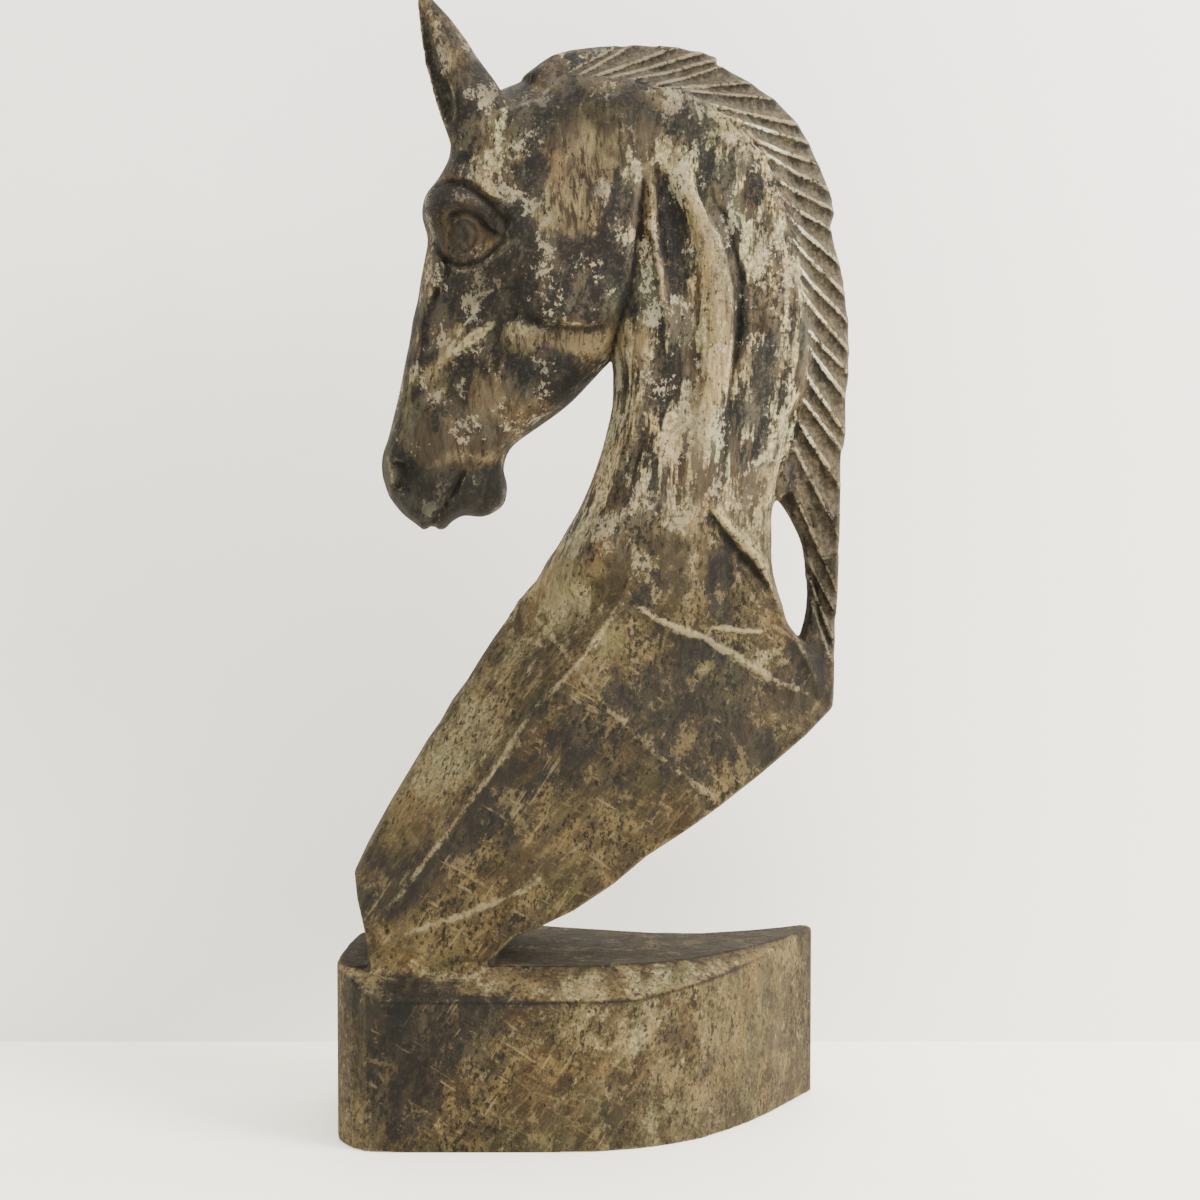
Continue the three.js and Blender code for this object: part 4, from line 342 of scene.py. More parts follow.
    ('dark', -79.1, 360.8, 20.7, 8.3, 10, -0.5),
    ('dark', -102.4, 352.6, 6.2, 7.2, 0, 0.8),
    ('dark', -53.8, 339.1, 8.3, 7.8, 0, 1.2),
    ('pale', -105.5, 347.9, 2.6, 10.3, 0, 0.9),
    ('tone_and_shade', 116.6, 283.2, 12.4, 41.5, 0, 0.34),
    ('tone_and_shade', 34.4, 552.8, 61.6, 13.3, 0, 0.1),
    ('pale', -71.8, 205.2, 15.6, 46.8, 35, 0.3),
    ('pale', -17.1, 283.2, 20.7, 25.9, 30, 0.22),
    ('dark', -71.8, 205.2, 15.6, 46.8, 35, -0.12),
    ('dark', 24.1, 529.9, 25.7, 10.3, 5, -0.3),
    ('dark', 63.2, 505.5, 13.4, 10.3, 30, -0.2),
    ('pale', 55.1, 438.0, 7.2, 56.7, -8, 0.25),
    ('pale', 29.3, 514.6, 15.4, 15.4, 0, 0.12),
    ('tan', -57.1, 464.1, 7.7, 3.6, -40, 0.9),
    ('pale', -57.1, 464.1, 7.2, 3.1, -40, 0.35),
    ('dark', -67.9, 471.7, 6.2, 6.7, 0, 1.3),
    ('pale', 87.2, 386.6, 13.4, 15.5, 10, 0.15),
    ('calm', -14.5, 415.4, 32.0, 8.3, 4, 0.7),
    ('pale', -14.4, 416.4, 28.9, 7.2, 4, 0.12),
    ('tan', -11.9, 416.4, 30.9, 8.3, 4, 0.55),
    ('dark', -11.9, 416.4, 29.9, 7.2, 2, -0.55),
    ('calm', -52.9, 509.5, 10.3, 13.4, 0, 0.4),
    ('dark', -53.5, 484.5, 11.3, 3.6, 40, 0.6),
    ('pale', -47.7, 529.9, 10.3, 10.3, 0, 0.15),
    ('pale', 57.7, 438.0, 7.2, 56.7, -8, 0.25),
    ('dark', 55.2, 422.6, 10.3, 61.9, -8, -0.3),
    ('dark', 24.1, 530.9, 25.7, 12.3, 5, -0.25),
    ('dark', 63.2, 505.5, 13.4, 10.3, 30, -0.25),
    ('pale', 55.0, 524.8, 15.4, 10.3, 10, 0.2),
    ('pale', 94.0, 376.3, 7.2, 15.5, 15, 0.25),
    ('pale', 78.4, 396.9, 6.2, 13.4, 0, 0.3),
    ('pale', -71.8, 205.2, 15.6, 46.8, 35, 0.2),
    ('tan', -71.8, 205.2, 17.7, 46.8, 35, 0.4),
    ('pale', -14.5, 283.2, 22.8, 25.9, 30, 0.16),
    ('dark', -54.0, 485.5, 12.3, 3.6, 38, 0.5),
    ('tan', 14.9, 426.7, 7.2, 13.4, -20, 0.6),
    ('pale', 14.9, 428.7, 5.2, 12.4, -20, 0.3),
    ('dark', 14.9, 426.7, 7.2, 13.4, -20, -0.4),
    ('calm', 14.9, 426.7, 8.2, 13.4, -20, 0.5),
    ('tone_and_shade', -47.9, 442.1, 25.8, 18.5, 10, 0.08),
    ('tone_and_shade', -24.8, 401.0, 18.6, 10.3, -12, 0.1),
    ('tone_and_shade', 34.4, 554.3, 56.4, 12.3, 0, 0.13),
    ('dark', 24.1, 555.3, 30.8, 6.2, 4, 0.2),
    ('pale', 24.3, 345.3, 31.0, 31.0, 0, 0.08),
    ('pale', 78.4, 391.7, 15.5, 15.5, 0, 0.12),
    ('tone_and_shade', 118.7, 283.2, 10.4, 36.3, 0, 0.06),
    ('tan', -41.8, 425.1, 7.2, 5.2, 20, 0.4),
    ('dark', 3.6, 438.0, 15.5, 7.2, 0, 0.3),
    ('tone_and_shade', -16.0, 419.5, 25.8, 5.2, 4, 0.15),
    ('pale', -75.8, 428.7, 6.2, 14.4, 30, -0.35),
    ('pale', -69.2, 559.4, 11.3, 30.8, -22, -0.35),
    ('tan', -70.8, 564.5, 8.2, 25.6, -22, 0.35),
    ('dark', -70.8, 560.4, 6.2, 22.6, -22, -0.22),
    ('calm', -69.2, 559.4, 10.3, 30.8, -22, 0.3),
    ('pale', -66.9, 471.7, 3.6, 3.6, 0, 1.0),
    ('dark', -59.3, 420.0, 7.2, 4.6, -30, 0.45),
    ('dark', -63.4, 438.0, 7.2, 7.2, 0, 0.4),
    ('dark', -71.0, 491.2, 14.4, 4.6, 8, 0.5),
    ('dark', -17.0, 399.4, 13.4, 6.2, -15, 0.3),
    ('tone_and_shade', -17.0, 401.0, 17.5, 7.2, -15, 0.12),
    ('dark', -76.6, 491.7, 13.4, 4.6, -8, 1.1),
    ('dark', -84.4, 484.0, 3.6, 8.2, 0, 0.6),
    ('dark', -66.9, 471.7, 7.7, 7.7, 0, -1.3),
    ('pale', -66.9, 471.2, 6.7, 6.7, 0, 0.55),
    ('tan', -66.9, 471.7, 7.2, 7.2, 0, 0.35),
    ('pale', -75.6, 491.7, 12.3, 4.6, -8, -0.5),
    ('calm', -9.2, 527.4, 25.7, 17.5, 15, 0.5),
    ('pale', -9.2, 529.9, 22.6, 15.4, 10, -0.25),
    ('tan', -6.7, 524.8, 22.6, 17.5, 10, -0.1),
    ('dark', -9.2, 524.8, 22.6, 17.5, 10, 0.05),
    ('pale', -48.0, 389.2, 20.6, 15.5, 0, -0.12),
    ('pale', -72.6, 457.4, 15.4, 3.1, 12, 0.4),
    ('dark', -72.6, 456.4, 15.4, 3.1, 12, -0.5),
    ('tone_and_shade', -75.6, 491.7, 12.3, 4.6, -8, 0.22),
    ('tone_and_shade', -54.0, 484.0, 10.3, 4.1, 38, 0.2),
    ('tone_and_shade', -66.9, 471.7, 3.1, 3.6, 0, 0.12),
    ('pale', -72.7, 436.4, 10.3, 9.3, 0, -0.5),
    ('dark', -59.3, 439.0, 8.2, 9.3, 0, 0.35),
    ('tone_and_shade', -23.2, 404.1, 18.6, 14.4, -12, 0.1),
    ('dark', -21.2, 401.0, 17.5, 10.3, -12, 0.3),
    ('pale', -48.0, 421.5, 8.2, 4.1, 0, -0.25),
    ('pale', -37.6, 422.6, 8.2, 4.6, 0, -0.35),
    ('tan', -17.0, 418.5, 25.8, 5.2, 4, 0.15),
    ('tone_and_shade', -60.8, 438.0, 9.3, 8.2, 0, 0.1),
    ('dark', 78.9, 231.2, 13.5, 6.2, -30, 0.25),
    ('dark', 24.4, 213.0, 15.6, 8.3, 20, 0.2),
    ('dark', 115.2, 236.4, 6.2, 13.5, 0, 0.25),
    ('pale', -0.6, 262.4, 15.6, 10.4, 20, 0.12),
    ('tone_and_shade', -19.1, 419.0, 27.8, 5.2, 4, 0.2),
    ('calm', -17.0, 418.5, 27.8, 6.2, 4, 0.5),
    ('dark', -66.9, 471.7, 2.6, 3.1, 0, 0.5),
    ('tone_and_shade', -84.0, 422.6, 10.3, 25.8, 10, 0.08),
    ('tone_and_shade', -52.9, 509.5, 18.5, 18.5, 0, 0.14),
    ('tone_and_shade', -84.1, 392.8, 15.5, 31.0, 6, 0.16),
    ('tone_and_shade', -74.0, 345.3, 27.9, 20.7, 0, 0.1),
    ('tone_and_shade', -4.2, 173.8, 46.8, 31.2, 30, 0.1),
    ('tone_and_shade', -59.0, 134.5, 31.3, 20.9, -8, 0.09),
    ('tone_and_shade', 118.7, 283.2, 8.3, 41.5, 0, 0.14),
    ('tone_and_shade', -14.5, 278.0, 20.7, 20.7, 0, 0.07),
    ('pale', 29.4, 378.9, 17.6, 20.7, 10, 0.16),
    ('dark', 29.4, 378.9, 17.6, 20.7, 10, -0.12),
    ('pale', 113.2, 359.8, 3.1, 20.7, 10, 0.25),
    ('tone_and_shade', -24.3, 406.1, 22.7, 15.5, -12, 0.1),
    ('tone_and_shade', -45.3, 440.0, 15.5, 11.3, 10, 0.1),
]
# worn lines and bands, partly painted highlights along ridges and rims and dark bands of painted shadow beside the
# facet ridges: kind, width, amount, X Z...
BANDS = [
    ('tan', 3.1, 0.9, [-84.0, 400.9, -75.7, 412.2, -68.5, 423.4]),
    ('pale', 2.3, 0.6, [-84.0, 400.9, -75.7, 412.2, -68.5, 423.4]),
    ('dark', 3.1, -0.7, [-84.0, 400.9, -75.7, 412.2, -68.5, 423.4]),
    ('tan', 2.6, 0.9, [-72.6, 413.2, -63.3, 418.8, -53.0, 424.5]),
    ('pale', 2.6, 0.6, [-72.6, 413.2, -63.3, 418.8, -53.0, 424.5]),
    ('dark', 2.6, -0.8, [-72.6, 413.2, -63.3, 418.8, -53.0, 424.5]),
    ('tan', 6.2, 0.75, [41.6, 510.3, 48.8, 491.4, 56.0, 473.6, 61.2, 457.2, 63.8, 437.8, 64.4, 414.7, 61.3, 389.1, 56.2, 365.9]),
    ('pale', 6.2, 0.3, [41.6, 510.3, 48.8, 491.4, 56.0, 473.6, 61.2, 457.2, 63.8, 437.8, 64.4, 414.7, 61.3, 389.1, 56.2, 365.9]),
    ('tan', 5.2, 0.8, [49.8, 481.2, 59.1, 458.2, 63.3, 422.4, 59.3, 386.5]),
    ('tan', 3.1, 0.8, [28.7, 505.2, 28.8, 473.6, 32.4, 437.8, 24.2, 412.2]),
    ('pale', 2.6, 0.5, [30.3, 468.4, 34.5, 437.8, 30.4, 412.2]),
    ('pale', 2.1, 0.6, [-44.2, 470.5, -50.4, 464.4, -56.0, 459.8, -64.3, 456.2, -70.9, 454.1]),
    ('pale', 2.1, 0.5, [63.5, 328.8, 74.9, 316.9, 90.5, 300.9, 105.6, 266.7, 115.0, 248.0]),
    ('pale', 1.4, 0.6, [61.6, 268.8, 75.1, 267.2, 90.6, 266.2]),
    ('pale', 1.6, 0.55, [-8.8, 249.6, -31.1, 226.2, -47.8, 201.2, -56.1, 189.7, -75.9, 163.1, -92.6, 141.1, -108.3, 121.2]),
    ('pale', 1.4, 0.42, [-28.5, 270.9, -8.8, 249.6, 4.1, 233.0, 22.8, 212.7, 40.5, 197.6, 63.9, 179.3]),
    ('pale', 1.8, 0.65, [22.7, 279.7, 38.8, 270.9, 60.6, 262.1, 73.0, 254.3, 85.5, 247.0, 97.9, 239.2, 114.5, 233.0]),
    ('pale', 1.6, 0.4, [11.9, 277.1, -8.8, 249.6]),
    ('pale', 1.6, 0.55, [-98.5, 110.2, -76.1, 117.0, -51.1, 127.0, -37.0, 132.8]),
    ('tan', 3.6, 0.9, [21.2, 229.3, 42.5, 237.6, 62.7, 248.0]),
    ('pale', 2.1, 0.6, [46.7, 202.8, 71.0, 215.8, 97.9, 235.6]),
    ('tan', 4.2, 0.6, [58.1, 201.2, 81.4, 213.2, 94.4, 223.1]),
    ('dark', 3.1, 0.6, [-48.3, 195.0, -64.0, 171.5, -84.8, 142.7, -100.5, 124.4]),
    ('dark', 2.6, 0.55, [34.7, 267.8, 55.4, 257.4, 76.1, 246.0, 94.3, 234.5]),
]
# the same on the front of the plinth; its tone patches at the left end are partly painted shade
PLINTH_PATCHES = [
    ('calm', -94.9, 63.4, 16.4, 21.5, 0, 0.75),
    ('dark', -94.9, 65.5, 15.4, 17.4, 0, 0.9),
    ('pale', -94.9, 63.4, 17.4, 20.5, 0, -0.4),
    ('tone_and_shade', -94.9, 66.5, 15.4, 17.4, 0, 0.12),
    ('dark', -97.9, 70.7, 12.3, 9.2, 0, 0.8),
    ('pale', -97.9, 68.6, 15.4, 15.4, 0, -0.3),
    ('pale', -63.1, 68.6, 10.3, 10.3, 0, -0.1),
    ('dark', -100.0, 72.7, 13.3, 10.3, 0, 1.6),
    ('dark', -107.2, 58.3, 5.6, 17.4, 0, 1.2),
    ('tone_and_shade', -101.0, 71.7, 15.4, 13.3, 0, 0.2),
    ('dark', -113.3, 73.8, 2.1, 20.5, 0, -0.8),
    ('pale', -16.9, 47.9, 56.5, 30.8, 0, 0.16),
    ('pale', -37.5, 34.9, 41.1, 15.4, 0, 0.12),
    ('tan', -16.9, 47.9, 56.5, 30.8, 0, 0.25),
    ('dark', -16.9, 53.1, 51.3, 25.7, 0, -0.1),
    ('dark', -84.7, 28.2, 13.4, 4.1, -38, 0.6),
    ('dark', -100.1, 28.2, 5.1, 11.3, 20, 0.5),
    ('tone_and_shade', -101.0, 67.6, 17.4, 17.4, 0, 0.22),
    ('dark', -102.0, 69.6, 15.4, 15.4, 0, 0.6),
    ('pale', 3.6, 58.3, 46.2, 30.8, 0, 0.14),
    ('pale', 24.1, 53.1, 35.9, 30.8, 0, 0.22),
    ('tone_and_shade', -124.5, 79.0, 10.3, 30.8, 0, 0.1),
    ('tone_and_shade', -96.4, 60.8, 22.6, 22.6, 0, 0.42),
    ('tone_and_shade', -124.7, 47.9, 11.3, 46.2, 0, 0.12),
    ('tone_and_shade', -88.9, 21.9, 25.7, 12.3, 0, 0.12),
    ('dark', -100.0, 73.8, 17.4, 10.3, 0, 1.0),
    ('dark', -105.2, 53.1, 10.3, 18.5, 0, 0.9),
    ('dark', -91.4, 29.7, 13.4, 10.3, -30, 0.75),
    ('dark', -72.3, 55.7, 10.3, 7.2, 40, 0.5),
    ('dark', -78.4, 75.9, 30.8, 3.1, 0, 0.5),
    ('dark', -96.6, 16.7, 4.1, 5.1, 0, 0.6),
    ('tan', -63.2, 27.1, 30.8, 15.4, 0, 0.5),
    ('tan', 24.1, 47.9, 41.1, 20.5, 0, 0.6),
    ('tan', 85.6, 79.0, 25.6, 25.6, 0, 0.6),
    ('dark', -124.6, 68.6, 4.1, 25.6, 0, 0.5),
    ('pale', 24.1, 89.3, 61.5, 4.6, 0, 0.6),
    ('pale', -73.2, 94.5, 25.6, 4.1, 0, 0.6),
    ('dark', 13.9, 37.5, 20.5, 5.1, 20, 0.25),
    ('tan', -119.7, 27.1, 7.2, 17.5, 0, 0.2),
    ('dark', -124.7, 53.1, 9.2, 35.9, 0, 0.3),
    ('pale', -123.7, 53.1, 9.2, 41.0, 0, -0.12),
    ('dark', 80.6, 58.3, 30.8, 35.9, 0, 0.08),
    ('pale', 85.7, 58.3, 30.8, 35.9, 0, -0.2),
    ('pale', 54.9, 53.1, 30.8, 20.5, 0, 0.25),
    ('pale', 34.4, 52.0, 9.2, 2.6, 30, 0.5),
    ('pale', -47.7, 55.7, 13.3, 2.1, 45, 0.6),
    ('dark', -37.4, 79.0, 15.4, 5.1, 0, 0.35),
]
# thin light edges, partly worn paint and partly painted highlights along rims and ridges, and dark lines, partly scored
# lines and partly painted shadow under rims and ridges: width, strength, X Z...
EDGES = [
    (1.0, 1.05, [-53.9, 444.2, -59.0, 436.6, -65.2, 427.4, -72.5, 417.1, -78.7, 407.9]),
    (1.2, 0.95, [-52.9, 423.8, -61.1, 421.7, -70.4, 414.6, -80.7, 403.8]),
    (0.9, 0.42, [26.6, 506.4, 24.6, 488.6, 23.1, 468.2, 21.1, 447.8, 18.0, 435.0, 13.4, 421.2]),
    (0.9, 0.42, [-75.4, 457.5, -67.2, 452.9, -57.0, 455.5, -49.2, 461.1, -43.6, 468.2]),
    (1.7, 0.52, [-8.8, 249.7, -31.1, 226.4, -47.7, 201.4, -56.0, 190.0, -75.8, 163.4, -92.5, 141.5, -108.1, 121.6]),
    (1.7, 0.48, [-28.4, 271.0, -8.8, 249.7, 4.1, 233.1, 22.8, 212.9, 40.4, 197.8, 63.8, 179.6]),
    (2.1, 0.74, [22.7, 279.8, 38.7, 271.0, 60.5, 262.2, 72.9, 254.4, 85.3, 247.2, 97.8, 239.4, 114.4, 233.1]),
    (1.4, 0.6, [11.9, 277.2, 2.6, 263.7, -8.8, 249.7]),
    (1.7, 0.66, [-98.3, 110.6, -75.9, 117.4, -51.0, 127.3, -36.9, 133.1]),
    (1.2, 0.25, [-48.3, 184.8, -17.1, 190.5, 14.0, 192.6, 37.3, 195.2]),
    (1.2, 0.8, [61.5, 268.9, 74.9, 267.4, 90.4, 266.3]),
    (1.8, 0.5, [21.2, 229.5, 42.4, 237.8, 62.6, 248.2]),
    (1.1, 0.6, [46.6, 203.0, 70.9, 216.0, 97.8, 235.7]),
    (1.6, 0.5, [58.0, 201.4, 81.3, 213.4, 94.2, 223.3]),
    (0.9, 0.4, [65.8, 213.4, 78.7, 229.0, 86.4, 242.0]),
    (0.8, 0.35, [3.6, 221.2, 16.6, 204.6]),
    (0.8, 0.3, [32.1, 236.8, 38.8, 228.5]),
    (0.8, 0.2, [-17.1, 262.7, 3.6, 236.8]),
    (0.8, 0.4, [76.1, 231.6, 102.0, 225.4]),
    (0.8, 0.35, [-40.0, 179.6, -25.0, 153.5]),
    (0.8, 0.3, [-63.8, 179.6, -48.2, 195.2]),
    (0.8, 0.35, [55.4, 221.2, 76.0, 236.8]),
    (1.1, 0.8, [-52.4, 445.8, -58.0, 436.6, -63.7, 427.9]),
    (1.1, 0.5, [61.3, 335.5, 65.5, 325.2, 75.3, 316.4, 90.3, 298.4, 99.7, 280.3]),
    (0.8, 0.34, [-73.8, 478.4, -75.6, 472.3, -74.4, 466.2, -70.3, 462.1]),
    (0.8, 0.35, [-61.0, 481.0, -53.8, 476.4, -46.7, 470.8]),
    (0.8, 0.3, [-72.7, 498.3, -65.6, 496.2, -58.9, 492.2, -52.8, 487.1, -46.6, 481.0, -43.1, 476.4]),
    (2.1, 0.45, [-106.1, 356.6, -104.6, 347.9, -104.1, 340.1]),
    (0.8, 0.5, [98.0, 468.2, 94.9, 462.1, 101.1, 457.0, 109.3, 446.3, 119.7, 436.6]),
    (0.9, 0.7, [-45.1, 469.2, -49.8, 463.1, -55.9, 458.0]),
]
SCORED_AND_SHADOW_LINES = [
    (0.8, 0.5, [-71.3, 474.3, -68.2, 476.9, -64.1, 476.4, -61.5, 472.8, -61.5, 468.2, -64.6, 465.2, -68.7, 465.2, -71.8, 468.2, -71.3, 474.3]),
    (1.1, 0.5, [-58.1, 414.6, -65.3, 411.0, -74.6, 402.8]),
    (0.9, 0.45, [-59.1, 431.0, -66.3, 421.2, -72.5, 414.6]),
    (1.4, 0.6, [-36.5, 431.0, -31.8, 428.9, -23.6, 425.3, -14.4, 423.3, -0.5, 422.8, 8.7, 425.8, 14.4, 433.0]),
    (1.1, 0.75, [-81.5, 477.4, -81.0, 468.2, -76.9, 460.1, -69.3, 456.0, -60.0, 457.0, -51.8, 462.1, -44.6, 470.3]),
    (1.2, 0.7, [-85.6, 485.5, -83.5, 492.7, -78.4, 496.7, -72.2, 497.8, -65.1, 495.7, -58.4, 491.6, -52.3, 486.6, -46.1, 480.4, -42.5, 476.4]),
    (1.0, 0.6, [-75.3, 479.9, -70.7, 483.0, -65.1, 483.5, -60.0, 481.5, -56.4, 477.9, -51.8, 473.3, -46.1, 470.3]),
    (0.9, 0.8, [-73.3, 474.8, -70.7, 477.9, -66.1, 478.9, -62.0, 476.4, -60.5, 471.3, -62.1, 466.2, -66.2, 463.6]),
    (1.2, 0.6, [-78.5, 462.1, -76.5, 455.0, -78.0, 448.8, -81.6, 440.7, -85.3, 432.5]),
    (1.4, 0.5, [-5.7, 248.2, -28.0, 224.8, -44.6, 199.9, -72.7, 161.8, -89.4, 139.9, -105.0, 120.0]),
    (1.4, 0.35, [3.6, 228.5, 21.2, 209.2, 38.8, 194.2, 61.7, 176.4]),
    (1.6, 0.4, [34.6, 266.8, 58.4, 257.0, 83.3, 242.0, 107.1, 229.0]),
    (1.2, 0.4, [-97.3, 108.0, -74.9, 114.3, -49.9, 124.2]),
    (0.9, 0.8, [-45.2, 431.5, -41.1, 428.4, -39.0, 423.3]),
    (1.0, 0.3, [24.3, 231.6, 45.0, 225.4, 65.7, 231.6]),
    (1.0, 0.3, [-17.1, 231.6, -2.6, 208.2]),
    (1.0, 0.3, [-74.2, 184.8, -58.7, 169.1]),
    (0.8, 0.4, [53.4, 463.1, 54.4, 437.6, 55.5, 412.0]),
    (0.7, 0.5, [59.6, 437.6, 58.6, 412.0, 57.1, 396.7]),
    (0.7, 0.4, [51.3, 481.0, 56.4, 465.7]),
    (0.7, 0.4, [62.2, 427.4, 61.2, 401.8]),
]


# ------------------------------------------------ the form
def catmull(p,closed=False,n=8):
    p=np.asarray(p,float); out=[]
    m=len(p)
    for i in range(m if closed else m-1):
        if closed: a,b,c,d=p[(i-1)%m],p[i],p[(i+1)%m],p[(i+2)%m]
        else: a,b,c,d=p[max(i-1,0)],p[i],p[i+1],p[min(i+2,m-1)]
        for k in range(n):
            t=k/n
            out.append(0.5*((2*b)+(c-a)*t+(2*a-5*b+4*c-d)*t*t+(3*b-a-3*c+d)*t**3))
    if not closed: out.append(p[-1])
    return np.array(out)

class Grid:
    def __init__(s,x0,x1,z0,z1,h):
        s.x=np.arange(x0,x1+h/2,h); s.z=np.arange(z0,z1+h/2,h); s.h=h
        s.X,s.Z=np.meshgrid(s.x,s.z,indexing="ij")
def seg(G,poly,closed=False,pad=None):
    """distance, side sign (left +), arc fraction to a polyline on the grid (only inside its padded window; far = 1e3)"""
    p=np.asarray(poly); q=np.roll(p,-1,0) if closed else p[1:]; p0=p if closed else p[:-1]
    X,Z=G.X,G.Z
    if pad is not None:
        i0=max(int((p[:,0].min()-pad-G.x[0])/G.h),0); i1=min(int((p[:,0].max()+pad-G.x[0])/G.h)+2,len(G.x))
        k0=max(int((p[:,1].min()-pad-G.z[0])/G.h),0); k1=min(int((p[:,1].max()+pad-G.z[0])/G.h)+2,len(G.z))
    else: i0,i1,k0,k1=0,len(G.x),0,len(G.z)
    X=X[i0:i1,k0:k1]; Z=Z[i0:i1,k0:k1]
    best=np.full(X.shape,1e9); side=np.zeros(X.shape); arc=np.zeros(X.shape); ins=np.zeros(X.shape,bool)
    L=np.hypot(*(q-p0).T); cum=np.concatenate([[0],np.cumsum(L)]); tot=cum[-1]
    for (ax,az),(bx,bz),l,c in zip(p0,q,L,cum):
        if l<1e-9: continue
        dx,dz=bx-ax,bz-az
        t=np.clip(((X-ax)*dx+(Z-az)*dz)/(l*l),0,1)
        ex=X-ax-t*dx; ez=Z-az-t*dz; d=ex*ex+ez*ez
        m=d<best
        best=np.where(m,d,best)
        side=np.where(m,dx*ez-dz*ex,side)
        arc=np.where(m,(c+t*l)/tot,arc)
        if closed:
            cr=((az>Z)!=(bz>Z))
            ins^=cr&(X<(bx-ax)*(Z-az)/((bz-az) if abs(bz-az)>1e-12 else 1e-12)+ax)
    best=np.sqrt(best)
    D=np.full(G.X.shape,1e3); S=np.zeros(G.X.shape); A=np.zeros(G.X.shape); I=np.zeros(G.X.shape,bool)
    D[i0:i1,k0:k1]=best; S[i0:i1,k0:k1]=np.sign(side); A[i0:i1,k0:k1]=arc; I[i0:i1,k0:k1]=ins
    return D,S,A,I
def inside(G,poly):
    D,_,_,I=seg(G,poly,closed=True); return np.where(I,D,-D)
def tps(pts,lam=0.02):
    p=np.asarray(pts,float); n=len(p); sc=100.0
    def U(r2): return np.where(r2>0,r2*np.log(r2+1e-12),0.0)
    X=p[:,:2]/sc
    K=U(((X[:,None]-X[None])**2).sum(-1))+lam*np.eye(n)
    M=np.zeros((n+3,n+3)); M[:n,:n]=K; M[:n,n]=1; M[:n,n+1:]=X; M[n,:n]=1; M[n+1:,:n]=X.T
    w=np.linalg.solve(M,np.concatenate([p[:,2],[0,0,0]])); return X,w,sc
def field(G,pts,lo=None,hi=None,lam=0.02):
    X,w,sc=tps(pts,lam); n=len(X); x=G.X/sc; z=G.Z/sc
    v=w[n]+w[n+1]*x+w[n+2]*z
    for i in range(n):
        r2=(x-X[i,0])**2+(z-X[i,1])**2+1e-12
        v=v+w[i]*r2*np.log(r2)
    a=np.asarray(pts)[:,2]
    return np.clip(v,a.min() if lo is None else lo,a.max() if hi is None else hi)
def sm(t): t=np.clip(t,0,1); return t*t*(3-2*t)
def smax(a,b,k):
    h=np.clip(0.5+0.5*(a-b)/k,0,1); return b*(1-h)+a*h+k*h*(1-h)
def smin(a,b,k): return -smax(-a,-b,k)
def e2(t): return np.where(t<0,2*t,np.where(t>1,1.0,2*t-t*t))
def stroke(G,kind,A,w,pts,f0=0.12,f1=0.12,closed=False):
    pad=5*w if kind=='step' else 3.2*w
    D,S,a,I=seg(G,catmull(pts,closed,3) if len(pts)>2 else pts,closed,pad)
    if closed: fade=1.0
    else:
        fade=1.0
        if f0>0: fade=fade*sm(a/f0)
        if f1>0: fade=fade*sm((1-a)/f1)
    if kind=='ridge': v=A*np.exp(-(D/w)**2)
    elif kind=='cusp': v=A*np.clip(1-D/w,0,1)**1.5
    elif kind=='step': # lowers the right-hand side (S<0 is right)
        v=np.where(S<0,A*np.exp(-D/w),A*np.exp(-(D/(0.15*w+0.4))**2)*1.0)
    else: raise 1
    return v*fade
def blob(G,A,cx,cz,a,b,rot=0.0,p=2.0):
    c,s=np.cos(rot),np.sin(rot); dx=G.X-cx; dz=G.Z-cz
    u=(c*dx+s*dz)/a; v=(-s*dx+c*dz)/b
    return A*np.exp(-(u*u+v*v)**(p/2))


def cat(*a): return np.concatenate(a)
def arcs(poly):
    L=np.hypot(*np.diff(poly,axis=0).T); c=np.concatenate([[0],np.cumsum(L)]); return c/c[-1]
def mane(G,C,depth=3.4):
    """gouged locks: hollow channels with straight sharp ridges between them"""
    I=np.asarray(C['M_IN']); O=np.asarray(C['M_OUT']); n=len(I)
    m=np.zeros_like(G.X)
    def across(k):
        d=O[k]-I[k]; L=np.hypot(*d); dx,dz=d/L; ex=G.X-I[k][0]; ez=G.Z-I[k][1]
        return -(dx*ez-dz*ex), dx*ex+dz*ez, L
    s0,a0,L0=across(0)
    for k in range(n-1):
        s1,a1,L1=across(k+1)
        on=(s0>=0)&(s1<0)&(a0>-6)&(a1>-6)&(a0<L0+14)&(a1<L1+14)
        f=np.where(on,s0/np.where(on,s0-s1,1),0)
        a=(1-f)*a0+f*a1
        end=sm((k+1.2)/1.5)*sm((n-1-k)/1.5)
        v=-depth*(1-np.abs(2*f-1)**2.2)*sm((a+0.5)/3.4)*end
        m=np.where(on,v,m)
        s0,a0,L0=s1,a1,L1
    return m
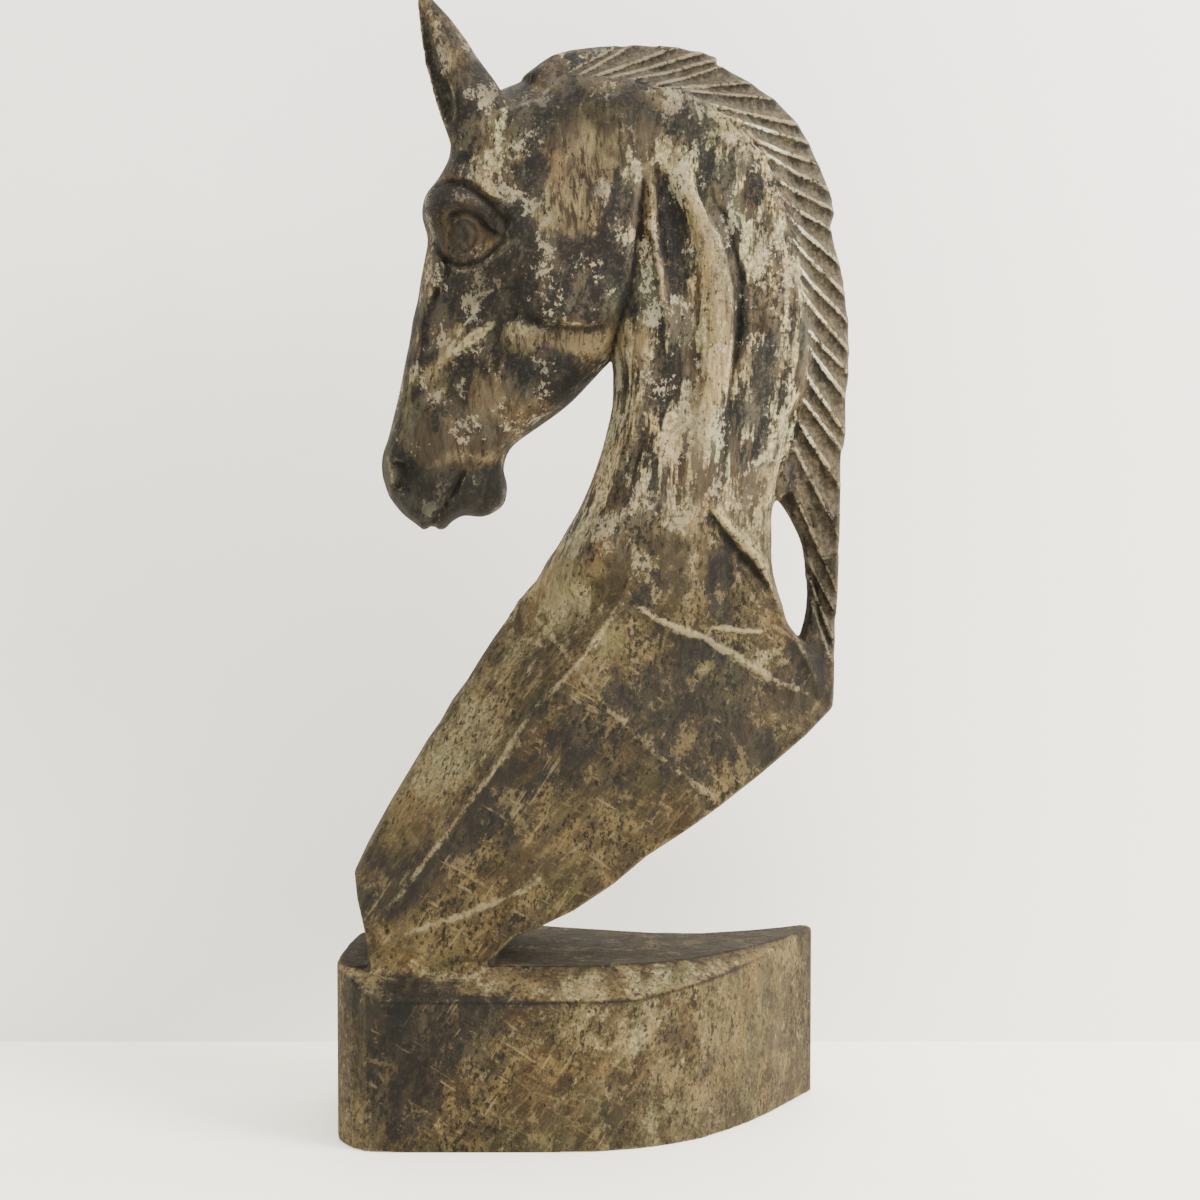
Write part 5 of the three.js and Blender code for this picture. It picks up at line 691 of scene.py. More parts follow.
def body(G,C,feat=True):
    hole=catmull(C['HOLE'],True,3)
    Dh,_,_,Ih=seg(G,hole,True); dh=np.where(Ih,-Dh,Dh)
    head=cat(C['FACE'],C['LIPS'],C['JAW'],C['HEADBACK'])
    dH=inside(G,catmull(head,True,3))
    neck=cat(C['NECKFRONT'],C['NECKFOOT'],C['NECKBACK'][::-1],C['NECKIN'])
    dN=inside(G,catmull(neck,True,2))
    mpoly=cat(C['CREST'],C['MANEIN'])
    dM=np.minimum(inside(G,mpoly),dh)
    dN=np.minimum(dN,dh)
    sh=cat(C['CHEST'],C['UNDER'],C['SHTOP'])
    dS=np.minimum(inside(G,sh),dh)
    TH=field(G,C['T_HEAD']); RH=field(G,C['R_HEAD'])
    TN=field(G,C['T_NECK']); RN=field(G,C['R_NECK'])
    TM=field(G,C['T_MANE'])
    qH=TH**2*e2(dH/RH); qN=TN**2*e2(dN/RN); qM=TM**2*e2(dM/2.6)
    pl=[c[0]*G.X+c[1]*G.Z+c[2] for c in C['PLANES']]
    hs=pl[0]
    for p in pl[1:]: hs=smin(hs,p,1.2)
    hs=np.maximum(hs,2)
    qS=hs**2*e2(dS/3.0)
    kk=G.Z; q=smax(qN,qM,160)
    q=smax(q,qS,12+480*sm(np.minimum(dN,dS)/22.0))
    kh=60+900*sm((G.Z-505)/35.0)+700*sm(np.minimum(dH,dN)/14.0)*np.exp(-((G.X-13)/14)**2-((G.Z-424)/20)**2)
    q=smax(q,qH,kh)
    h=np.sqrt(np.maximum(q,0)); dd=np.maximum(np.maximum(dH,dN),np.maximum(dM,dS))
    if feat:
        m=np.zeros_like(h)
        for (nm,kind,A,w,pts,f0,f1,cl) in C['S']: m+=stroke(G,kind,A,w,np.asarray(pts).reshape(-1,2),f0,f1,cl)
        for (nm,A,cx,cz,a,bb,rot,p) in C['B']: m+=blob(G,A,cx,cz,a,bb,rot,p)
        m*=sm(dd/5.0)
        m+=mane(G,C)*(dM>-1)
        q=np.where(q>0,np.maximum(h+m,0.6)**2,q)
    return dict(q=q,dH=dH,dN=dN,dM=dM,dS=dS,qH=qH,qN=qN,qM=qM,qS=qS,hs=hs)


class G2: pass
def axes(h,x0=-142,x1=142,y0=-66,y1=77,z0=-4.5,z1=606):
    # the z axis has samples at equal distance either side of 0
    x=np.arange(x0,x1+h/2,h); y=np.arange(y0,y1+h/2,h); z=np.arange(-3.5*h,z1+h/2,h)
    return x,y,z
def grid2(a,b,h):
    g=G2(); g.x=a; g.z=b; g.h=h; g.X,g.Z=np.meshgrid(a,b,indexing='ij'); return g
def plinth(C,x,y,z,h):
    g=grid2(x,y,h)
    poly=np.concatenate([C['PLAN_FRONT'],C['PLAN_BACK']]); dp=inside(g,poly)
    df,_,_,_=seg(g,C['PLAN_FRONT'],False)
    cw=18*sm((g.X+134)/26)*np.clip((118-g.X)/95,0,1)**0.9
    sl=15/18.0
    top=C['TOPZ']-sl*np.maximum(cw-df,0)     # top height over the plan
    Z=z[None,None,:]
    F=np.maximum(-dp[:,:,None],-Z)
    ft=(Z-top[:,:,None])/np.sqrt(1+sl*sl*(df<cw))[:,:,None]
    return smax(F,ft,1.5)
def ears(C,x,y,z):
    E=C['EARS'][::-1]; T=E[:,3]; Yc=E[:,4]
    zz=E[:,0]; lo=zz[0]; hi=zz[-1]
    k=(z>lo-2)&(z<hi+3); zi=z[k]
    cx=np.interp(zi,zz,E[:,1]); wx=np.interp(zi,zz,E[:,2]); ty=np.interp(zi,zz,T); yc=np.interp(zi,zz,Yc)
    top=np.clip((hi+0.8-zi),0.0,None)
    X=x[:,None,None]; Y=np.abs(y)[None,:,None]
    a=(X-cx)/wx; b=(Y-yc)/ty
    r=np.sqrt(a*a+b*b+1e-6)
    f=(r-1)*np.minimum(wx,ty)*0.9
    # hollow of the ear opens forward and a little outward
    hz=np.sqrt(sm((zi-(lo+16))/20)*sm((hi-3-zi)/16))+1e-3     # shrinks to nothing at the base and the tip
    ex=0.64*wx*hz; ey=0.74*ty*hz
    a2=(X-(cx-1.02*wx))/ex; b2=(Y-(yc+0.56*ty))/ey
    r2=np.sqrt(a2*a2+b2*b2+1e-6); f2=(r2-1)*np.minimum(ex,ey)
    f=smax(f,-f2,0.8)
    f=np.maximum(f,zi-hi-0.3)
    f=np.maximum(f,(lo-zi))
    return k,f
def solid(C,h):
    x,y,z=axes(h)
    g=grid2(x,z,h); r=body(g,C); q=r['q']
    gx,gz=np.gradient(q,h)
    gg=gx*gx+gz*gz
    Y2=(y*y)[None,:,None]
    F=((Y2-q[:,None,:])/np.sqrt(4*Y2+gg[:,None,:]+4.0)).astype(np.float32)
    low=z<100
    F[:,:,z<84]=50.0
    P=plinth(C,x,y,z,h)
    F=smin(F,P.astype(np.float32),3.0)
    k,f=ears(C,x,y,z)
    Fk=F[:,:,k]; F[:,:,k]=smin(Fk,f.astype(np.float32),4.0)
    return x,y,z,F
def clean(F,eps=-0.02):
    """fill the diagonal (checkerboard) cells so that the extracted skin stays manifold"""
    for it in range(12):
        s=F<0; n=0
        for ax in range(3):
            u,v=[(1,2),(2,0),(0,1)][ax]
            def sl(du,dv):
                e=[slice(None)]*3; e[u]=slice(du,s.shape[u]-1+du); e[v]=slice(dv,s.shape[v]-1+dv); return tuple(e)
            a,b,c,d=s[sl(0,0)],s[sl(1,0)],s[sl(0,1)],s[sl(1,1)]
            m=(a==d)&(b==c)&(a!=b); n+=int(m.sum())
            if not m.any(): continue
            for k in ((0,0),(1,0),(0,1),(1,1)):
                w=F[sl(*k)]; w[m&(w>=0)]=eps
        s=F<0
        c=sum(s[i:s.shape[0]-1+i,j:s.shape[1]-1+j,k:s.shape[2]-1+k].astype(np.uint8) for i in (0,1) for j in (0,1) for k in (0,1))
        def cor(i,j,k): return s[i:s.shape[0]-1+i,j:s.shape[1]-1+j,k:s.shape[2]-1+k]
        for i,j in ((0,0),(1,0),(0,1),(1,1)):
            p=cor(i,j,0); r=cor(1-i,1-j,1)
            m=((c==2)&p&r)|((c==6)&~p&~r); n+=int(m.sum())
            for I,J,K in np.argwhere(m):
                w=F[I:I+2,J:J+2,K:K+2]; w[w>=0]=eps
        if n==0: break
    return F
def nets(x,y,z,F):
    """surface nets on a dense grid; outward facing quads"""
    F=clean(F)
    s=F<0
    # cells crossed by the surface
    c=np.zeros(tuple(n-1 for n in F.shape),np.uint8)
    nx,ny,nz=c.shape
    for i in (0,1):
        for j in (0,1):
            for k in (0,1): c+=s[i:nx+i,j:ny+j,k:nz+k]
    act=(c>0)&(c<8)
    idx=np.full(act.shape,-1,np.int64); I,J,K=np.nonzero(act); idx[I,J,K]=np.arange(len(I))
    acc=np.zeros((len(I),3)); cnt=np.zeros(len(I))
    cor=[(0,0,0),(1,0,0),(0,1,0),(1,1,0),(0,0,1),(1,0,1),(0,1,1),(1,1,1)]
    for a in range(8):
        for b in range(a+1,8):
            d=[cor[b][t]-cor[a][t] for t in range(3)]
            if sum(map(abs,d))!=1: continue
            va=F[I+cor[a][0],J+cor[a][1],K+cor[a][2]]; vb=F[I+cor[b][0],J+cor[b][1],K+cor[b][2]]
            m=(va<0)!=(vb<0); t=np.where(m,va/np.where(m,va-vb,1),0)
            for ax in range(3): acc[:,ax]+=m*(cor[a][ax]+t*d[ax])
            cnt+=m
    acc/=cnt[:,None]
    hx=x[1]-x[0]; V=np.stack([x[I]+acc[:,0]*hx,y[J]+acc[:,1]*hx,z[K]+acc[:,2]*hx],1)
    Q=[]
    for ax in range(3):
        sl0=[slice(None)]*3; sl1=[slice(None)]*3; sl0[ax]=slice(0,-1); sl1[ax]=slice(1,None)
        a=s[tuple(sl0)]; b=s[tuple(sl1)]; m=a!=b
        o=[(1,2),(2,0),(0,1)][ax]
        for t in o: 
            e=[slice(None)]*3; e[t]=slice(0,1); m[tuple(e)]=False
            e[t]=slice(m.shape[t]-1,None); m[tuple(e)]=False
        i,j,k=np.nonzero(m); p=np.stack([i,j,k],1)
        u=np.zeros(3,int); v=np.zeros(3,int); u[o[0]]=1; v[o[1]]=1
        A=idx[tuple((p-u-v).T)]; B_=idx[tuple((p-v).T)]; Cc=idx[tuple(p.T)]; D=idx[tuple((p-u).T)]
        inside_first=a[i,j,k]
        q=np.where(inside_first[:,None],np.stack([A,B_,Cc,D],1),np.stack([A,D,Cc,B_],1))
        Q.append(q)
    Q=np.concatenate(Q)
    return V,Q


# ------------------------------------------------ the carved piece
def carve():
    x, y, z, F = solid(C, GRID)
    V, Q = nets(x, y, z, F)
    T = np.concatenate([Q[:, [0, 1, 2]], Q[:, [0, 2, 3]]])
    return V, T


def make_mesh(name, V, T):
    me = bpy.data.meshes.new(name)
    me.vertices.add(len(V))
    me.vertices.foreach_set("co", (V / 1000.0).astype(np.float32).ravel())
    me.loops.add(3 * len(T))
    me.loops.foreach_set("vertex_index", T.astype(np.int32).ravel())
    me.polygons.add(len(T))
    me.polygons.foreach_set("loop_start", np.arange(0, 3 * len(T), 3, dtype=np.int32))
    me.polygons.foreach_set("loop_total", np.full(len(T), 3, np.int32))
    me.update(calc_edges=True)
    me.validate()
    return me


def thin(obj, target):
    n = len(obj.data.polygons)
    if n <= target:
        return
    mod = obj.modifiers.new("thin", "DECIMATE")
    mod.ratio = target / n
    mod.use_collapse_triangulate = True
    dg = bpy.context.evaluated_depsgraph_get()
    ev = obj.evaluated_get(dg)
    me = bpy.data.meshes.new_from_object(ev)
    obj.modifiers.clear()
    old = obj.data
    obj.data = me
    bpy.data.meshes.remove(old)


def read_back(me):
    V = np.empty(3 * len(me.vertices), np.float32)
    me.vertices.foreach_get("co", V)
    E = np.empty(2 * len(me.edges), np.int32)
    me.edges.foreach_get("vertices", E)
    N = np.empty(3 * len(me.vertices), np.float32)
    me.vertices.foreach_get("normal", N)
    return V.reshape(-1, 3).astype(float) * 1000, E.reshape(-1, 2), N.reshape(-1, 3).astype(float)


def spread(E, n, a, times):
    deg = np.bincount(E[:, 0], minlength=n) + np.bincount(E[:, 1], minlength=n)
    deg = np.maximum(deg, 1)
    for _ in range(times):
        s = np.bincount(E[:, 0], a[E[:, 1]], n) + np.bincount(E[:, 1], a[E[:, 0]], n)
        a = 0.5 * a + 0.5 * s / deg
    return a


def bend(V, E, N):
    """how much each point stands proud (+) or lies in a hollow (-), in 1/mm"""
    n = len(V)
    deg = np.maximum(np.bincount(E[:, 0], minlength=n) + np.bincount(E[:, 1], minlength=n), 1)
    d = V[E[:, 1]] - V[E[:, 0]]
    l2 = np.maximum((d * d).sum(1), 1e-6)
    a = (d * N[E[:, 0]]).sum(1) / l2
    b = -(d * N[E[:, 1]]).sum(1) / l2
    k = -(np.bincount(E[:, 0], a, n) + np.bincount(E[:, 1], b, n)) / deg
    return 2 * k


def bell(u, v, turn, a, b):
    c, s = math.cos(turn), math.sin(turn)
    return np.exp(-(((c * u + s * v) / a) ** 2 + ((-s * u + c * v) / b) ** 2))


def near_line(X, Z, flat, width):
    p = catmull(np.asarray(flat).reshape(-1, 2), False, 3)
    best = np.full(len(X), 1e9)
    lo = p.min(0) - 3 * width
    hi = p.max(0) + 3 * width
    m = (X > lo[0]) & (X < hi[0]) & (Z > lo[1]) & (Z < hi[1])
    x, z = X[m], Z[m]
    b = np.full(len(x), 1e9)
    for (ax, az), (bx, bz) in zip(p[:-1], p[1:]):
        dx, dz = bx - ax, bz - az
        l2 = dx * dx + dz * dz
        if l2 < 1e-9:
            continue
        t = np.clip(((x - ax) * dx + (z - az) * dz) / l2, 0, 1)
        b = np.minimum(b, (x - ax - t * dx) ** 2 + (z - az - t * dz) ** 2)
    best[m] = b
    return np.exp(-best / (width * width))


def paint_fields(V, N):
    X, Y, Z = V[:, 0], V[:, 1], V[:, 2]
    f = {k: np.zeros(len(V)) for k in ("dark", "pale", "tan", "calm", "tone_and_shade")}
    plinth = sm((92 - Z) / 4.0)
    body = 1 - plinth
    for k, cx, cz, a, b, turn, amount in PATCHES:
        f[k] += amount * bell(X - cx, Z - cz, math.radians(-turn), a, b) * body
    for k, width, amount, flat in BANDS:
        f[k] += amount * near_line(X, Z, flat, width) * body
    front = plinth
    for k, cx, cz, a, b, turn, amount in PLINTH_PATCHES:
        f[k] += amount * bell(X - cx, Z - cz, math.radians(-turn), a, b) * front
    return f


def thin_lines(V, rows, wander=0.0):
    X, Z = V[:, 0], V[:, 2]
    a = np.zeros(len(V))
    jx = 0.7 * np.sin(0.33 * X + 0.19 * Z) + 0.5 * np.sin(0.71 * X - 0.63 * Z + 1.3) + 0.35 * np.sin(1.37 * Z + 0.9 * X)
    jz = 0.7 * np.sin(0.21 * X - 0.37 * Z + 2.0) + 0.5 * np.sin(0.67 * X + 0.59 * Z) + 0.35 * np.sin(1.21 * X - 0.7 * Z)
    ragged = 0.88 + 0.22 * np.sin(0.23 * X + 0.41 * Z + 0.5) + 0.16 * np.sin(0.61 * X - 0.35 * Z)
    for width, amount, flat in rows:
        big = wander * sm((width - 0.9) / 0.4)
        line = near_line(X + big * jx, Z + big * jz, flat, width)
        a = np.maximum(a, amount * line * (1 - min(wander, 1.0) * (1 - ragged)))
    return a * sm((V[:, 2] - 93) / 2.0)


def lock_lines(X, Z):
    """closeness to the sharp ridges between the locks of the mane, to the channels between them, and the painted shadow
    just below each ridge
    """
    inner, outer = C["M_IN"], C["M_OUT"]
    ridge, channel, shadow_below_ridge = np.zeros(len(X)), np.zeros(len(X)), np.zeros(len(X))

    def across(k):
        d = outer[k] - inner[k]
        L = np.hypot(d[0], d[1])
        ex, ez = X - inner[k][0], Z - inner[k][1]
        return (d[1] * ex - d[0] * ez) / L, (d[0] * ex + d[1] * ez) / L, L

    s0, a0, L0 = across(0)
    for j in range(len(inner) - 1):
        s1, a1, L1 = across(j + 1)
        on = (s0 >= 0) & (s1 < 0) & (a0 > -6) & (a1 > -6) & (a0 < L0 + 14) & (a1 < L1 + 14)
        near = np.minimum(np.abs(s0), np.abs(s1))
        a = np.where(np.abs(s0) < np.abs(s1), a0, a1)
        ridge = np.where(on, np.exp(-(near / 0.95) ** 2) * sm((a + 2) / 5.0), ridge)
        channel = np.where(on, sm((near - 0.4) / 1.2) * sm((a + 7) / 18.0), channel)
        shadow_below_ridge = np.where(on, 1 - s0 / np.where(on, s0 - s1, 1), shadow_below_ridge)
        s0, a0, L0 = s1, a1, L1
    return ridge, channel, shadow_below_ridge


def put(me, name, a):
    at = me.attributes.new(name, "FLOAT", "POINT")
    at.data.foreach_set("value", np.ascontiguousarray(a, np.float32))


def cut_depth(X, Z):
    """how far the gouges lower (-) or leave proud (+) the side at X, Z, in mm"""
    x, _, z = axes(GRID)
    g = grid2(x, z, GRID)
    a = np.sqrt(np.maximum(body(g, C)["q"], 0)) - np.sqrt(np.maximum(body(g, C, False)["q"], 0))
    i = np.clip((X - x[0]) / GRID, 0, len(x) - 1.001)
    k = np.clip((Z - z[0]) / GRID, 0, len(z) - 1.001)
    i0, k0 = i.astype(int), k.astype(int)
    u, v = i - i0, k - k0
    return (a[i0, k0] * (1 - u) * (1 - v) + a[i0 + 1, k0] * u * (1 - v)
            + a[i0, k0 + 1] * (1 - u) * v + a[i0 + 1, k0 + 1] * u * v)


V, T = carve()
V[:, 2] = np.where(V[:, 2] < 0.3, 0.0, V[:, 2])
V[:, 0] -= CENTRE[0]
V[:, 1] -= CENTRE[1]
horse = bpy.data.objects.new("carved_horse_head", make_mesh("carved_horse_head", V, T))
bpy.context.scene.collection.objects.link(horse)
thin(horse, TRIANGLES)
me = horse.data
P, E_, N_ = read_back(me)
D = P + np.array([CENTRE[0], CENTRE[1], 0.0])
X, Y, Z = D[:, 0], D[:, 1], D[:, 2]
fields = paint_fields(D, N_)
k = bend(P, E_, N_)
k1 = spread(E_, len(P), k, 1)
k2 = spread(E_, len(P), k, 8)
upright = sm((Z - 94) / 4.0)
cut = cut_depth(X, Z) * upright * sm((np.abs(Y) - 4) / 6.0)
crest = np.asarray(C["CREST"])
mane = sm((near_line(X, Z, crest, 24.0) - 0.16) / 0.3) * sm((Z - 190) / 40.0)
plinth_ = sm((94 - Z) / 3.0)
shoulder = sm((338 + 0.30 * X - Z) / 85.0) * (1 - plinth_)
head = 1 - shoulder - plinth_
ear = sm((Z - 532) / 8.0) * sm((-30 - X) / 10.0)
face_up = np.clip(N_[:, 2], 0, 1)
# cover: how much charcoal, whitewash and tan each part carries before the patches
# the plinth's chamfer and the two scored lines along it
df = np.sqrt(-np.log(np.maximum(near_line(X, Y, C["PLAN_FRONT"], 40.0), 1e-30))) * 40.0
cw = 18 * sm((X + 134) / 26) * np.clip((118 - X) / 95, 0, 1) ** 0.9
foot = Z < 96
chamfer = foot * sm((cw - df + 1) / 2.0) * sm((Z - (C["TOPZ"] - cw * 15 / 18.0) + 1) / 2.0)
scored = foot * (np.exp(-((df - cw) / 1.1) ** 2) * (Z > 90) * (X > -128)
                 + np.exp(-((Z - (C["TOPZ"] - cw * 15 / 18.0) + 0.6) / 1.3) ** 2) * (df < 4) * sm((cw - 3) / 4.0))
top_flat = foot * sm((N_[:, 2] - 0.93) / 0.05)
# cover: how much charcoal, whitewash and tan each part carries before the patches; the plinth's flat tops get more
# charcoal and tone, partly a dark stain and partly painted shade
dark = 0.27 * head + 0.20 * shoulder + 0.14 * plinth_ + 0.10 * mane + 0.38 * ear + 0.16 * top_flat + fields["dark"]
pale = 0.20 * head + 0.05 * shoulder + 0.10 * plinth_ - 0.10 * mane - 0.25 * ear + 0.24 * chamfer - 0.20 * top_flat + fields["pale"]
tan = 0.35 + 0.35 * chamfer - 0.25 * top_flat + fields["tan"]
put(me, "dark", dark)
put(me, "pale", pale)
put(me, "tan", tan)
put(me, "calm", np.clip(0.35 * shoulder + 0.35 * plinth_ + fields["calm"], 0, 1))
lock = mane * (np.abs(Y) > 6)
# proud and hollow come from the bends of the surface and the depth of the gouges; they lighten ridges and darken
# hollows and cuts: partly wear and dirt, partly painted highlight and painted shade
rise = (0.7 * k1 + 0.9 * k2 - 0.03) * (1 - lock) + (1.25 * k1 - 0.22) * lock
put(me, "proud", np.clip(rise + 0.10 * np.clip(cut, 0, 3), 0, 1) * (1 - scored) * (1 - 0.95 * np.clip(fields["calm"], 0, 1)))
put(me, "hollow", np.clip(-(0.7 * k1 + 1.3 * k2) * (1 - 0.45 * lock) - 0.02 + 0.07 * np.clip(-cut, 0, 4) * (1 - 0.8 * lock) + 0.8 * scored, 0, 1))
put(me, "edge", np.clip(thin_lines(D, EDGES, 1.0), 0, 1))
put(me, "scored_and_shadow_line", thin_lines(D, SCORED_AND_SHADOW_LINES))
put(me, "mane", mane)
ridge, channel, shadow_below_ridge = lock_lines(X, Z)
side = sm((np.abs(Y) - 3) / 3.0)
put(me, "ridge", ridge * side * mane)
put(me, "channel", channel * side * mane)
put(me, "shadow_below_ridge", shadow_below_ridge)
# the tone darkening: tone patches, the shoulder and the plinth's flat tops, partly the paint's own tone and partly
# painted shade
put(me, "tone_and_shade", np.clip(fields["tone_and_shade"] + 0.04 * shoulder + 0.24 * top_flat, 0, 0.9))
put(me, "shoulder", shoulder)
jaw_line = np.clip(np.interp(Z, [300, 345, 387, 412, 440, 465, 513], [-60, -40, -8, 12, 22, 24, 27]), -60, 30)
put(me, "neck", sm((X - jaw_line) / 8.0) * head * (1 - mane) * sm((535 - Z) / 40.0))
put(me, "plinth", plinth_)
put(me, "up", face_up * plinth_)
me.polygons.foreach_set("use_smooth", np.ones(len(me.polygons), bool))


# ------------------------------------------------ worn paint over wood, with painted shade and painted highlights
def srgb(r, g, b):
    def f(c):
        c /= 255.0
        return c / 12.92 if c <= 0.04045 else ((c + 0.055) / 1.055) ** 2.4
    return (f(r), f(g), f(b), 1.0)


class Nodes:
    def __init__(self, mat):
        self.t = mat.node_tree
        self.t.nodes.clear()

    def n(self, kind, **kw):
        node = self.t.nodes.new(kind)
        for key, v in kw.items():
            setattr(node, key, v)
        return node

    def link(self, a, b):
        self.t.links.new(a, b)

    def attr(self, name):
        return self.n("ShaderNodeAttribute", attribute_name=name).outputs["Fac"]

    def math(self, op, a, b=0.0, c=0.0, clamp=False):
        m = self.n("ShaderNodeMath", operation=op, use_clamp=clamp)
        for i, v in enumerate((a, b, c)):
            if hasattr(v, "node"):
                self.link(v, m.inputs[i])
            elif i < len(m.inputs):
                m.inputs[i].default_value = v
        return m.outputs[0]

    def ramp(self, v, lo, hi):
        m = self.n("ShaderNodeMapRange", interpolation_type="SMOOTHSTEP")
        self.link(v, m.inputs["Value"])
        m.inputs["From Min"].default_value = lo
        m.inputs["From Max"].default_value = hi
        return m.outputs["Result"]

    def blend(self, fac, a, b):
        """a number between a and b"""
        m = self.n("ShaderNodeMix", data_type="FLOAT")
        self.link(fac, m.inputs[0])
        self.link(a, m.inputs[2])
        self.link(b, m.inputs[3])
        return m.outputs[0]

    def noise(self, vec, scale, detail=5.0, rough=0.6, distort=0.0, lac=2.0):
        m = self.n("ShaderNodeTexNoise")
        self.link(vec, m.inputs["Vector"])
        m.inputs["Scale"].default_value = scale
        m.inputs["Detail"].default_value = detail
        m.inputs["Roughness"].default_value = rough
        m.inputs["Lacunarity"].default_value = lac
        m.inputs["Distortion"].default_value = distort
        return m.outputs["Fac"]

    def stretch(self, vec, scale, turn=(0, 0, 0), shift=(0, 0, 0)):
        m = self.n("ShaderNodeMapping", vector_type="TEXTURE")
        m.inputs["Location"].default_value = shift
        m.inputs["Rotation"].default_value = [math.radians(a) for a in turn]
        m.inputs["Scale"].default_value = scale
        self.link(vec, m.inputs["Vector"])
        return m.outputs["Vector"]

    def mix(self, fac, a, b, blend="MIX"):
        m = self.n("ShaderNodeMix", data_type="RGBA", blend_type=blend)
        for i, v in ((0, fac), (6, a), (7, b)):
            if hasattr(v, "node"):
                self.link(v, m.inputs[i])
            else:
                m.inputs[i].default_value = v
        return m.outputs[2]


DEPTH = 0.75    # how deep the colours are


def worn_paint_and_painted_light():
    mat = bpy.data.materials.new("worn_paint_and_painted_shade_on_wood")
    mat.use_nodes = True
    g = Nodes(mat)
    M = g.math
    co = g.n("ShaderNodeTexCoord").outputs["Object"]
    dark, pale, tan = g.attr("dark"), g.attr("pale"), g.attr("tan")
    proud, hollow, mane = g.attr("proud"), g.attr("hollow"), g.attr("mane")
    shoulder, plinth, up = g.attr("shoulder"), g.attr("plinth"), g.attr("up")
    low = M("ADD", shoulder, plinth)
    calm, edge, scored_and_shadow_line, neck = g.attr("calm"), g.attr("edge"), g.attr("scored_and_shadow_line"), g.attr("neck")
    lively = M("SUBTRACT", 1.0, M("MULTIPLY", calm, 0.62))

    def off(v, by):
        return M("MULTIPLY", M("SUBTRACT", v, 0.5), by)

    coarse = M("SUBTRACT", 1.0, M("MULTIPLY", low, 0.5))

    def cover(amount, seed, blot, streak, flake):
        """amount of paint, broken into blotches, upright streaks and flakes"""
        a = g.noise(g.stretch(co, (1, 1, 1.3), shift=(seed, 0, seed)), 52, 4, 0.6)
        up_ = g.noise(g.stretch(co, (1, 1, 3.4), turn=(0, 5, 0), shift=(0, seed, 0)), 130, 5, 0.68)
        slant = g.noise(g.stretch(co, (1, 1, 2.6), turn=(0, 42, 0), shift=(seed, 0.3, 0)), 120, 5, 0.68)
        s = g.blend(low, up_, slant)
        long_ = g.noise(g.stretch(co, (1, 1, 7.5), turn=(0, 3, 0), shift=(0.2, seed, 0.4)), 210, 4, 0.62)
        f = g.noise(g.stretch(co, (1, 1, 1.5), shift=(seed, seed, 0)), 240, 5, 0.75)
        flake = M("MULTIPLY", flake, M("ADD", 1.0, M("MULTIPLY", low, 0.7)))
        v = M("ADD", M("ADD", M("MULTIPLY", off(a, blot), M("SUBTRACT", 1.0, M("MAXIMUM", M("MULTIPLY", neck, 0.35), M("MULTIPLY", low, 0.50)))), off(s, streak)), off(f, flake))
        v = M("ADD", v, M("MULTIPLY", off(long_, 2.6), neck))
        return M("ADD", amount, M("MULTIPLY", v, lively))

    fine = g.noise(co, 420, 5, 0.75)
    fleck = g.noise(g.stretch(co, (1, 1, 1.4), shift=(0.9, 0.2, 0.4)), 560, 4, 0.7)
    soft = g.noise(g.stretch(co, (1, 1, 1.2), shift=(0.3, 0.1, 0.7)), 26, 5, 0.6)
    soft2 = g.noise(g.stretch(co, (1, 1, 1.2), shift=(0.6, 0.5, 0.2)), 60, 6, 0.68)
    grain = g.noise(g.stretch(co, (1, 1, 11), turn=(0, 4, 0)), 560, 4, 0.62)
    grain2 = g.noise(g.stretch(co, (1, 1, 6), turn=(0, -9, 0)), 220, 6, 0.68)
    cross = g.noise(g.stretch(co, (1, 1, 6), turn=(0, 38, 0), shift=(0.2, 0.1, 0.5)), 230, 5, 0.70, 0.5)
    cross2 = g.noise(g.stretch(co, (1, 1, 5), turn=(0, -64, 0), shift=(0.7, 0.4, 0.5)), 260, 5, 0.70, 0.5)

    # bare wood: brown to tan, upright grain above, hatched tool marks below
    wood = g.mix(g.ramp(M("ADD", M("ADD", M("MULTIPLY", off(soft, 1.8), coarse), M("ADD", off(soft2, 2.2), M("MULTIPLY", off(fine, 1.6), low))), tan), 0.20, 0.95), g.mix(low, srgb(70, 60, 44), srgb(58, 48, 30)), g.mix(low, srgb(130, 113, 81), srgb(113, 97, 60)))
    streaks = g.blend(low, grain2, cross)
    wood = g.mix(g.ramp(M("ADD", off(streaks, 3.0), 0.4), 0.45, 0.75), wood, srgb(56, 45, 32))
    wood = g.mix(M("MULTIPLY", g.ramp(grain, 0.51, 0.60), M("SUBTRACT", 0.55, M("MULTIPLY", low, 0.40))), wood, srgb(44, 35, 26))
    hatch = M("MULTIPLY", M("MAXIMUM", g.ramp(cross, 0.545, 0.60), g.ramp(cross2, 0.57, 0.62)), low)
    wood = g.mix(M("MULTIPLY", hatch, 0.36), wood, srgb(127, 109, 68))
    hatch2 = M("MULTIPLY", M("MAXIMUM", g.ramp(cross, 0.455, 0.40), g.ramp(cross2, 0.43, 0.38)), low)
    wood = g.mix(M("MULTIPLY", hatch2, 0.42), wood, srgb(42, 33, 23))
    wood = g.mix(M("MULTIPLY", mane, 0.60), wood, g.mix(g.ramp(grain2, 0.44, 0.58), srgb(54, 45, 34), srgb(104, 88, 66)))

    # whitewash
    pv = cover(pale, 0.35, 2.7, 2.0, 1.25)
